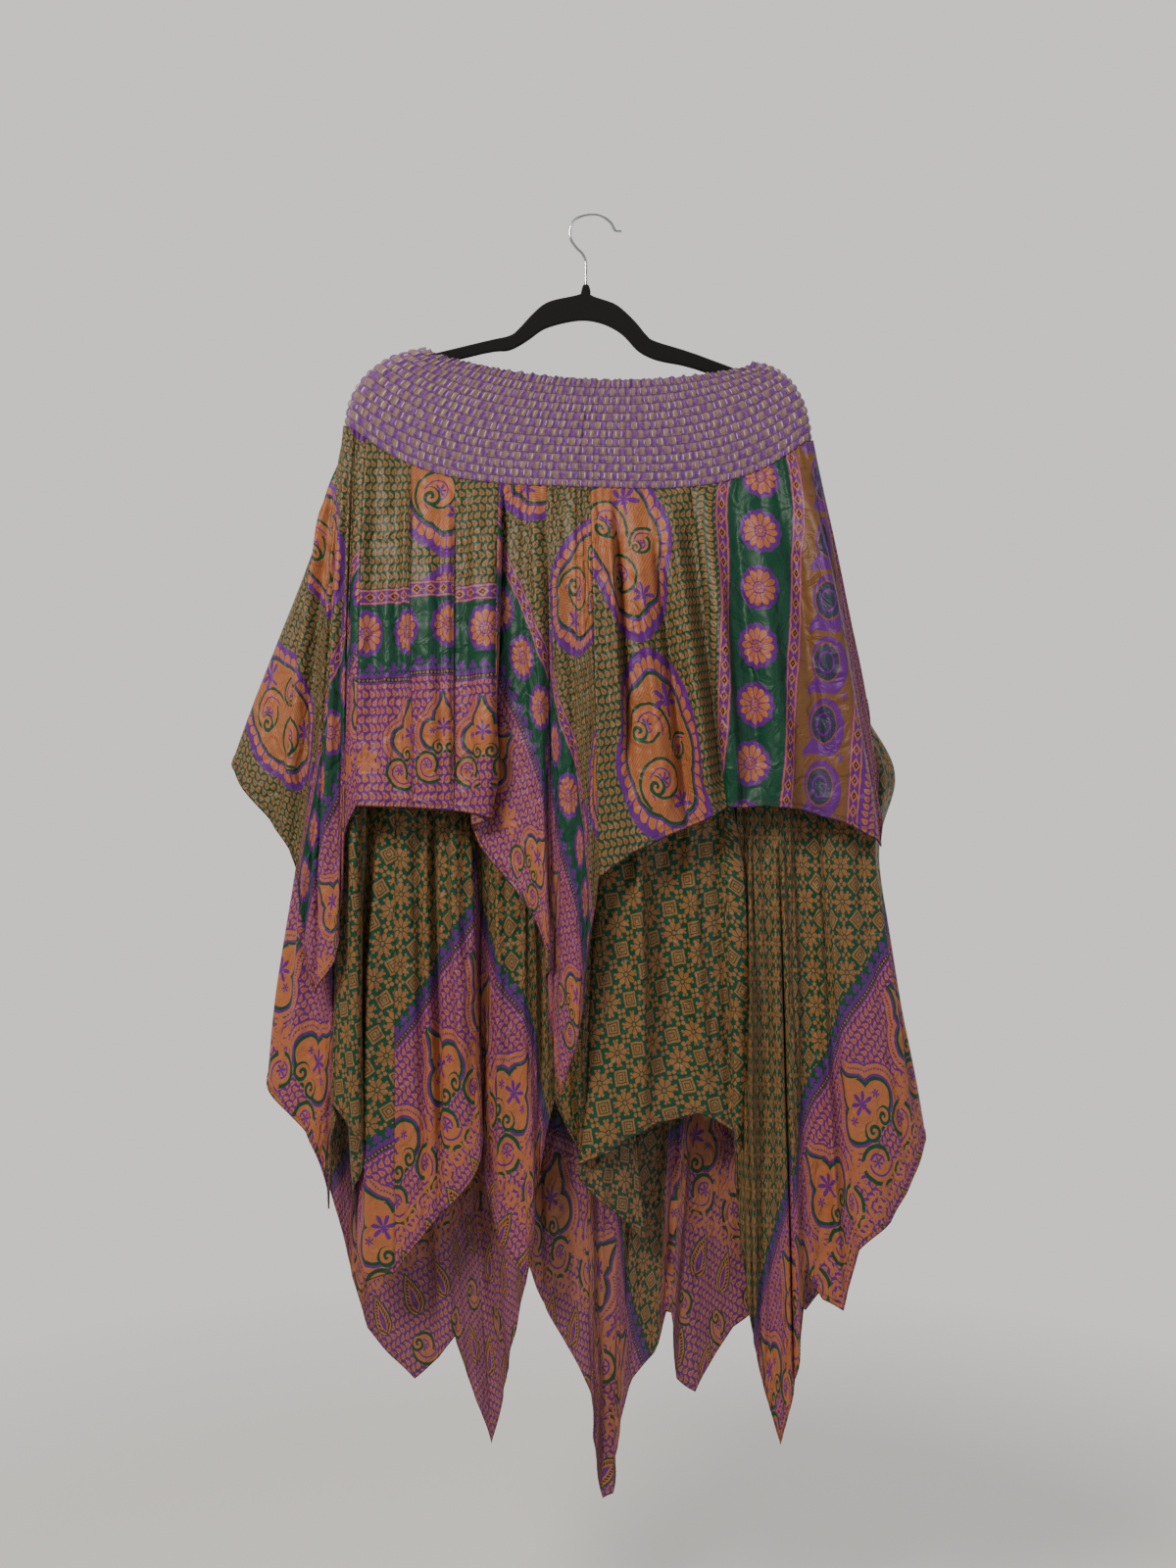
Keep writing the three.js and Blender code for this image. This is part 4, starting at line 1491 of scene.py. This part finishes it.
    def _relief(self, grid: np.ndarray, share: np.ndarray, drop: np.ndarray) -> np.ndarray:
        """The gathers, creases and soft unevenness, as millimetres out of the plain cloth."""
        along = run_along(grid[0])
        wander = waves(along, (0.4, 21, 0), (0.3, 8.3, 1))
        fine = (0.5 + 0.5 * np.sin(2 * np.pi * (along / self.gather_pitch + wander))) ** 1.4
        reach = 24 + waves(along, (16, 13.7, 0), (8, 5.1, 0))
        relief = self.gather_height * fine * np.exp(-((drop / reach) ** 1.3))
        broad = 0.5 + 0.5 * np.sin(2 * np.pi * (along / self.pucker_pitch + waves(along, (0.35, 37, 0))))
        fade_in = 1 - np.exp(-drop / self.pucker_start)
        relief = relief + self.pucker * broad * fade_in * np.exp(-((drop / self.pucker_reach) ** 1.5))
        cloth = run_along(grid[-1])
        at = self.columns["at"]
        order = np.arange(len(at))
        for crease in self.creases:
            centre = np.interp(crease.at + crease.drift * share, at, order)
            distance = cloth[None, :] - np.interp(centre, order, cloth)
            begun = np.clip((share - crease.top) / self.crease_fade, 0, 1)
            left = np.clip((crease.bottom - share) / self.crease_fade + 0.35, 0, 1)
            rise = np.exp(-((distance / crease.width) ** 2))
            relief = relief + self.depth * crease.height * (begun * left) * rise
        # Slow unevenness, by lengths in millimetres along the cloth and down it.
        soft = np.sin(cloth / 17 + 2 * np.sin(drop / 90)) + 0.7 * np.sin(cloth / 9.5 - drop / 70)
        flutter = np.sin(cloth / 11 + drop / 40) * np.clip(share * 3 - 2, 0, 1)
        ripple = np.sin(cloth / 6.1 + 1.7 * np.sin(drop / 63) + at / 9) * np.sin(cloth / 41 + drop / 150)
        return relief + (soft + 0.9 * ripple) * np.clip(drop / 90, 0, 1) + 1.1 * flutter

    def _hem_roll(self, down: np.ndarray) -> np.ndarray:
        """How much the turned hem stands out along the cloth's edge."""
        left = down[-1] - down
        return (self.roll * np.clip((self.roll_width - left) / 1.2, 0, 1))[..., None]

    def _span(self, start: float, end: float) -> np.ndarray:
        """The numbers of the columns from one fold to another."""
        at = self.columns["at"]
        first = int(np.argmin(np.abs(at - start)))
        last = int(np.argmin(np.abs(at - end))) if end < at[0] + 360 - 1e-6 else len(at)
        return np.arange(first, last + 1) % len(at)

    def _print(self, middle: np.ndarray, cut: np.ndarray) -> tuple[np.ndarray, np.ndarray]:
        """The print's coordinates on a panel, from how its stretches are laid.

        Args:
            middle: the whole tier's cloth.
            cut: the panel's columns.

        Returns:
            The coordinates at the left and at the right of each strip of the panel.
        """
        at = self.columns["at"]
        steps = np.linalg.norm(np.diff(middle, axis=1, append=middle[:, :1]), axis=-1)
        along = np.concatenate([np.zeros((len(middle), 1)), np.cumsum(steps, axis=1)], axis=1)
        drawn_in = along[int(len(middle) * self.calm_share)]
        along += (drawn_in - along) * self.gathered_share
        order = np.where((cut == 0) & (np.arange(len(cut)) > 0), len(at), cut)
        strips = at[cut[:-1]]
        result = np.zeros((2, len(middle), len(cut) - 1, 2))
        for lay in self.lays:
            inside = (at >= lay.start - 1e-6) & (at < lay.end - 1e-6)
            spots = np.flatnonzero(inside)
            near = (middle[:, spots, 0] - lay.x) ** 2 + (middle[:, spots, 2] - lay.z) ** 2
            best = np.unravel_index(np.argmin(near), near.shape)[1]
            turn = math.radians(lay.turn)
            chosen = (strips >= lay.start - 1e-6) & (strips < lay.end - 1e-6)
            for side in (0, 1):
                ends = slice(side, len(cut) - 1 + side)
                u = along[:, order[ends]][:, chosen] - along[:, spots[best], None]
                v = lay.z - middle[:, cut[ends], 2][:, chosen]
                result[side][:, chosen, 0] = lay.p + u * math.cos(turn) + v * math.sin(turn)
                result[side][:, chosen, 1] = lay.q - u * math.sin(turn) + v * math.cos(turn)
        return result[0], result[1]

    def _stitches(
        self, panel: Panel, outer: np.ndarray, normal: np.ndarray, down: np.ndarray
    ) -> bpy.types.Object:
        """Sews a line of stitches along a panel's hem.

        Args:
            panel: the panel.
            outer: its right side.
            normal: its outward normals.
            down: how far down each point is.

        Returns:
            The stitches as one object.
        """
        inset, pitch, long = 4.2, 3.4, 2.3
        width, lift = 0.55, 0.35
        share = np.array([np.interp(d[-1] - inset, d, np.arange(len(d))) for d in down.T])
        low = np.floor(share).astype(int)
        part = (share - low)[:, None]
        columns = np.arange(outer.shape[1])
        high = np.minimum(low + 1, len(outer) - 1)
        line = outer[low, columns] * (1 - part) + outer[high, columns] * part
        out = normal[low, columns]
        along = run_along(line)
        starts = np.arange(pitch / 2, along[-1] - long, pitch)

        def spot(places: np.ndarray, values: np.ndarray) -> np.ndarray:
            """Values at places along the hem."""
            return np.stack([np.interp(places, along, values[:, k]) for k in range(3)], axis=-1)

        first, second = spot(starts, line), spot(starts + long, line)
        up = spot(starts + long / 2, out)
        way = second - first
        across = np.cross(way, up)
        across /= np.maximum(np.linalg.norm(across, axis=-1, keepdims=True), 1e-9)
        points = np.stack(
            [
                first - across * width / 2,
                first + across * width / 2,
                second + across * width / 2,
                second - across * width / 2,
                (first * 3 + second) / 4 + up * lift,
                (first + second * 3) / 4 + up * lift,
            ],
            axis=1,
        )
        faces = np.array([[0, 4, 5, 3], [1, 2, 5, 4], [0, 1, 4, 4], [3, 5, 2, 2], [0, 3, 2, 1]])
        base = np.arange(len(points))[:, None, None] * 6
        listed = [list(dict.fromkeys(f)) for f in (faces[None] + base).reshape(-1, 4).tolist()]
        name = panel.name + "_hem_stitches"
        mesh = bpy.data.meshes.new(name)
        mesh.from_pydata((points.reshape(-1, 3) * MM).tolist(), [], listed)
        mesh.materials.append(thread_material())
        mesh.update()
        piece = in_scene(name, mesh)
        return settle(piece)


def through_four(a: float, b: float, c: float, d: float, t: float) -> float:
    """A cubic through four values in a row, between the middle two."""
    linear_part = (c - a) * t
    square = (2 * a - 5 * b + 4 * c - d) * t * t
    cube = (3 * b - a - 3 * c + d) * t * t * t
    return b + (linear_part + square + cube) / 2


def thread_material() -> bpy.types.Material:
    """The one thread that every hem is sewn with."""
    return bpy.data.materials.get(THREAD.name) or THREAD.material()


# -------------------------------------------------------------------------- the band


@dataclass
class ShirredBand:
    """The band: two halves of cloth drawn up on thirteen rows of stretch thread.

    Attributes:
        rows: rows of shirring.
        puffs: puffs along a half.
        row_steps: steps of the grid down a row.
        puff_steps: steps of the grid along a puff.
        wall: how far the stitched lines stand off the band's inner line, in millimetres.
        puff: how far the puffs stand off the stitched lines.
        frill: how far the top edge waves in and out.
        lining: how far the wrong side stands off the band's inner line.
        seam_gap: the gap at the seam between the halves.
        print_shift: how many puffs the right half's print is moved on from the left one's.
        slot: the record's material slot; not used.
    """

    rows: int = 13
    puffs: int = 70
    row_steps: int = 5
    puff_steps: int = 5
    wall: float = 2.5
    puff: float = 1.9
    frill: float = 1.4
    lining: float = 0.25
    seam_gap: float = 0.3
    print_shift: float = 200.0
    slot: str = "band_cloth"

    def build(self, cloth: bpy.types.Material) -> list[bpy.types.Object]:
        """Builds both halves and returns them."""
        return [self._half("band_left", -1, cloth), self._half("band_right", 1, cloth)]

    def _half(self, node: str, side: int, cloth: bpy.types.Material) -> bpy.types.Object:
        """Builds one half.

        Args:
            node: the frame's node that it replaces.
            side: -1 for the left half and 1 for the right one.
            cloth: its finish.

        Returns:
            The half.
        """
        levels = np.linspace(0, 1, self.rows * self.row_steps + 1)
        place = np.linspace(-1, 1, self.puffs * self.puff_steps + 1)
        ring = place if side > 0 else -place
        grid = np.stack([Section(level).half_ring(ring, side) for level in levels])
        draw_in(grid, self.seam_gap)
        normal = normals_of(grid, closed=False)
        u = (place + 1) / 2 * self.puffs
        v = levels * self.rows
        outer = grid + normal * self._puffed(u, v, side)[..., None]
        ragged = 0.7 * np.sin(u * 2.4) + 0.5 * np.sin(u * 5.3 + 1)
        outer[0, :, 2] += ragged
        inner = grid + normal * self.lining
        inner[0, :, 2] += ragged
        shift = 0 if side < 0 else self.print_shift
        puffs = np.stack(np.broadcast_arrays(u[None, :] + shift, v[:, None]), axis=-1)
        piece = shell_mesh(node + "_shirred", outer, inner, (puffs[:, :-1], puffs[:, 1:]), [cloth])
        settle(piece, node)
        cut_out(piece, outer, inner)
        return piece

    def _puffed(self, u: np.ndarray, v: np.ndarray, side: int) -> np.ndarray:
        """How far out the cloth stands, from its place along the puffs and down the rows."""
        row = np.floor(np.minimum(v, self.rows - 1e-6))
        within = v - row
        rng = np.random.default_rng(7 + side)
        slip = np.cumsum(rng.uniform(-0.16, 0.16, self.rows))[row.astype(int)]
        high = rng.uniform(0.7, 1.25, (self.rows, self.puffs + 1))
        phase = u[None, :] + slip[:, None] + 0.12 * np.sin(u / 3.1)[None, :]
        crest = 0.5 + 0.5 * np.cos(2 * np.pi * phase)
        size = high[row.astype(int)][:, np.minimum(u.astype(int), self.puffs)]
        arc = np.sin(np.pi * within) ** 0.75
        arc = np.where(v < 1, np.maximum(arc, 1 - within * 0.6), arc)[:, None]
        frill = np.where(v < 1, self.frill * (1 - within), 0)[:, None] * np.sin(2 * np.pi * phase / 2.3)
        return self.wall + 0.45 * crest + self.puff * size * arc * (0.25 + 0.75 * crest) + frill


# ------------------------------------------------------------------------ the hanger


@dataclass(frozen=True)
class VelvetHanger:
    """The slim hanger that the skirt hangs from: a flocked board and a wire hook."""

    thickness: float = 5.5
    edge: float = 1.6
    wire: float = 3.0
    hook_path: tuple[tuple[float, float], ...] = (
        (-5, -66),
        (-5, -48),
        (-5.5, -41),
        (-8.5, -35),
        (-13.5, -30),
        (-18.5, -23),
        (-20, -15.5),
        (-18.5, -8.5),
        (-14.5, -3),
        (-8, 0.3),
        (0, 1.5),
        (7, 1),
        (13.5, -2),
        (19, -7),
        (21.5, -12),
        (24, -14),
        (28.5, -14),
    )
    outline: tuple[tuple[float, float], ...] = (
        (-189.6, -139.5),
        (-101, -118),
        (-77, -112.5),
        (-68, -106),
        (-57, -94),
        (-46, -84),
        (-35, -79),
        (-12, -74),
        (-9.5, -71),
        (-7.5, -65),
        (-2.5, -65),
        (-0.5, -71),
        (1, -75),
        (21, -82),
        (32, -90),
        (43, -101),
        (52, -112),
        (61, -118),
        (99, -130),
        (187.6, -163),
        (189, -167),
        (188, -171),
        (184, -173.5),
        (99, -144),
        (68, -137),
        (55, -133),
        (43, -126),
        (32, -114),
        (23, -107),
        (10, -101),
        (-6, -98),
        (-24, -100),
        (-44, -106),
        (-57, -115),
        (-68, -122),
        (-79, -126.5),
        (-101, -129),
        (-186, -149.5),
        (-190, -147),
        (-191.2, -143),
    )

    def build(self) -> list[bpy.types.Object]:
        """Builds the board and the hook and returns them."""
        return [self._board(), self._hook()]

    def _board(self) -> bpy.types.Object:
        """Builds the flocked board from its outline, with rounded edges."""
        settings = {
            "dimensions": "2D",
            "fill_mode": "BOTH",
            "extrude": (self.thickness / 2 - self.edge) * MM,
            "bevel_depth": self.edge * MM,
            "offset": -self.edge * MM,
        }
        points = [(x, z, 0.0) for x, z in smoothed(self.outline, 4, closed=True)]
        mesh = curve_mesh("hanger_board_velvet", points, settings, closed=True)
        mesh.transform(Matrix.Rotation(math.pi / 2, 4, "X"))
        return settle(placed(mesh, VELVET.material()), "hanger_body")

    def _hook(self) -> bpy.types.Object:
        """Builds the wire hook as a round rod along its path."""
        settings = {"dimensions": "3D", "bevel_depth": self.wire / 2 * MM, "use_fill_caps": True}
        points = [(x, 0.0, z) for x, z in smoothed(self.hook_path, 6)]
        mesh = curve_mesh("hanger_hook_chrome", points, settings)
        return settle(placed(mesh, CHROME.material()), "hanger_hook")


def curve_mesh(
    name: str,
    points: Sequence[tuple[float, float, float]],
    settings: Mapping[str, object],
    closed: bool = False,
) -> bpy.types.Mesh:
    """Bevels a line of points and turns it into a smooth mesh.

    Args:
        name: the mesh's name.
        points: the line's points, in millimetres.
        settings: the curve's own properties.
        closed: whether the last point meets the first.

    Returns:
        The mesh.
    """
    curve = bpy.data.curves.new(name, "CURVE")
    for key, value in settings.items():
        setattr(curve, key, value)
    curve.bevel_resolution = 3
    spline = curve.splines.new("POLY")
    spline.points.add(len(points) - 1)
    for spot, point in zip(spline.points, points):
        spot.co = (*(part * MM for part in point), 1)
    spline.use_cyclic_u = closed
    carrier = in_scene("carrier", curve)
    bpy.context.view_layer.update()
    mesh = bpy.data.meshes.new_from_object(carrier.evaluated_get(bpy.context.evaluated_depsgraph_get()))
    bpy.data.objects.remove(carrier)
    mesh.name = name
    mesh.materials.clear()
    mesh.polygons.foreach_set("use_smooth", [True] * len(mesh.polygons))
    return mesh


def placed(mesh: bpy.types.Mesh, material: bpy.types.Material) -> bpy.types.Object:
    """Puts a mesh in the scene with its material."""
    mesh.materials.append(material)
    return in_scene(mesh.name, mesh)


# Stretches of an outline longer than this, in millimetres, are left straight.
STRAIGHT_OVER = 60.0


def smoothed(
    points: Sequence[tuple[float, float]], steps: int, closed: bool = False
) -> list[tuple[float, float]]:
    """Rounds a line through its points, but for its long straight stretches.

    Args:
        points: the line's points.
        steps: how many steps each stretch is cut into.
        closed: whether the last point meets the first.

    Returns:
        The finer line's points.
    """
    last = len(points) - 1
    line: list[tuple[float, float]] = []
    for i in range(last + closed):
        places = (i - 1, i, i + 1, i + 2)
        near = [points[k % (last + 1) if closed else min(max(k, 0), last)] for k in places]
        straight = math.dist(near[1], near[2]) > STRAIGHT_OVER
        for step in range(1 if straight else steps):
            line.append(tuple(through_four(*(p[axis] for p in near), step / steps) for axis in (0, 1)))
    return line if closed else [*line, points[-1]]


# ------------------------------------------------------------------------ the studio


@dataclass(frozen=True)
class Lamp:
    """An area light, in metres and watts."""

    name: str
    place: tuple[float, float, float]
    size: float
    power: float
    colour: str = "#FFFFFF"


@dataclass(frozen=True)
class Studio:
    """A pale floor, soft lights and a camera in front of the hanging skirt."""

    aim: tuple[float, float, float] = (-0.003, 0.0, -0.533)
    distance: float = 1.5
    frame_height: float = 1.472
    floor_z: float = -1.45
    floor_radius: float = 1.5
    sensor: float = 36.0
    lamps: tuple[Lamp, ...] = (
        Lamp("key", (-1.1, -1.5, 0.75), 0.55, 44.0, "#FFF6EC"),
        Lamp("fill", (1.5, -1.7, -0.4), 1.2, 8.0, "#F2F5FF"),
        Lamp("top", (0.1, 0.3, 1.2), 1.0, 5.0),
        Lamp("back", (0.4, 1.9, 0.2), 1.4, 10.0),
    )

    def build(self) -> None:
        """Builds the floor, the lights, the world and the camera."""
        self._floor()
        for lamp in self.lamps:
            self._light(lamp)
        self._world()
        self._camera()

    def _floor(self) -> None:
        """Lays a round floor that fades out at its edge."""
        sides, rings = 96, 8
        points = [(0.0, 0.0, self.floor_z)]
        for ring in range(1, rings + 1):
            radius = self.floor_radius * ring / rings
            for side in range(sides):
                angle = 2 * math.pi * side / sides
                points.append((radius * math.cos(angle), radius * math.sin(angle), self.floor_z))
        faces = [(0, 1 + s, 1 + (s + 1) % sides) for s in range(sides)]
        for ring in range(rings - 1):
            low, high = 1 + ring * sides, 1 + (ring + 1) * sides
            for side in range(sides):
                after = (side + 1) % sides
                faces.append((low + side, high + side, high + after, low + after))
        mesh = bpy.data.meshes.new("floor")
        mesh.from_pydata(points, [], faces)
        recipe = Recipe("pale_floor")
        where = recipe.node("ShaderNodeTexCoord").outputs["Object"]
        parts = recipe.node("ShaderNodeSeparateXYZ", links={0: where}).outputs
        at = recipe.values({"x": parts[0], "y": parts[1]}, far=f"{RADIUS} / {self.floor_radius}")
        kept = recipe.formula("minimum(maximum((1 - far) * 2.2, 0), 1)", at)
        plug(recipe.shader, {"Base Color": linear("#DCDAD6"), "Roughness": 0.9, "Alpha": kept})
        mesh.materials.append(recipe.material)
        in_scene("floor", mesh)

    def _light(self, lamp: Lamp) -> None:
        """Hangs one light, turned towards the skirt."""
        light = bpy.data.lights.new(lamp.name, "AREA")
        light.size = lamp.size
        light.energy = lamp.power
        light.color = linear(lamp.colour)[:3]
        holder = in_scene(lamp.name, light)
        holder.location = lamp.place
        way = Vector(self.aim) - Vector(lamp.place)
        holder.rotation_euler = way.to_track_quat("-Z", "Y").to_euler()

    def _world(self) -> None:
        """Surrounds the skirt with soft pale light, stronger from the backdrop behind it."""
        world = bpy.data.worlds.new("studio_air")
        world.use_nodes = True
        tree = world.node_tree
        way = add_node(tree, "ShaderNodeTexCoord").outputs["Generated"]
        parts = add_node(tree, "ShaderNodeSeparateXYZ", links={0: way})
        reach = {"From Min": -0.6, "From Max": 0.7, "To Min": 0.36, "To Max": 1.1}
        level = add_node(tree, "ShaderNodeMapRange", links={"Value": parts.outputs[1], **reach})
        plug(tree.nodes["Background"], {"Color": linear("#E9E7E3"), "Strength": level.outputs[0]})
        bpy.context.scene.world = world

    def _camera(self) -> None:
        """Sets the camera level with the middle of the skirt."""
        camera = bpy.data.cameras.new("camera")
        camera.sensor_width = self.sensor
        camera.lens = self.sensor * self.distance / self.frame_height
        holder = in_scene("camera", camera)
        x, y, z = self.aim
        holder.location = (x, y - self.distance, z)
        holder.rotation_euler = (math.pi / 2, 0, 0)
        bpy.context.scene.camera = holder


# --------------------------------------------------------------------------- the whole


def main() -> None:
    """Builds the skirt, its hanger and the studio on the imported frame."""
    logging.basicConfig(level=logging.INFO, format="%(name)s %(message)s")
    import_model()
    Studio().build()
    field_cloth = [field_print("field_print_satin", 0.0), field_print("field_print_wrong_side", 0.8)]
    side_cloth = [selvedge_print("selvedge_print_satin", 0.0), field_cloth[1]]
    blossom_cloth = [
        blossom_print("blossom_print_satin", 0.0),
        blossom_print("blossom_print_wrong_side", 0.8),
    ]
    ShirredBand().build(shirred_cloth())
    upper = HandkerchiefTier(
        UPPER_FOLDS,
        UPPER_PANELS,
        UPPER_LAYS,
        UPPER_CREASES,
        offset=2.6,
        spread=120,
        rows=88,
        swing=SideSwing(0, -500, 50),
        slot="upper_cloth",
    )
    upper.build({"": field_cloth, "upper_front_5": side_cloth})
    lower = HandkerchiefTier(
        LOWER_FOLDS,
        LOWER_PANELS,
        LOWER_LAYS,
        LOWER_CREASES,
        offset=0.8,
        spread=190,
        rows=110,
        swing=SideSwing(30, -522, 50),
        slot="lower_cloth",
        gather_height=0.5,
        depth=3.0,
    )
    lower.build({"": blossom_cloth})
    VelvetHanger().build()


if __name__ == "__main__":
    main()
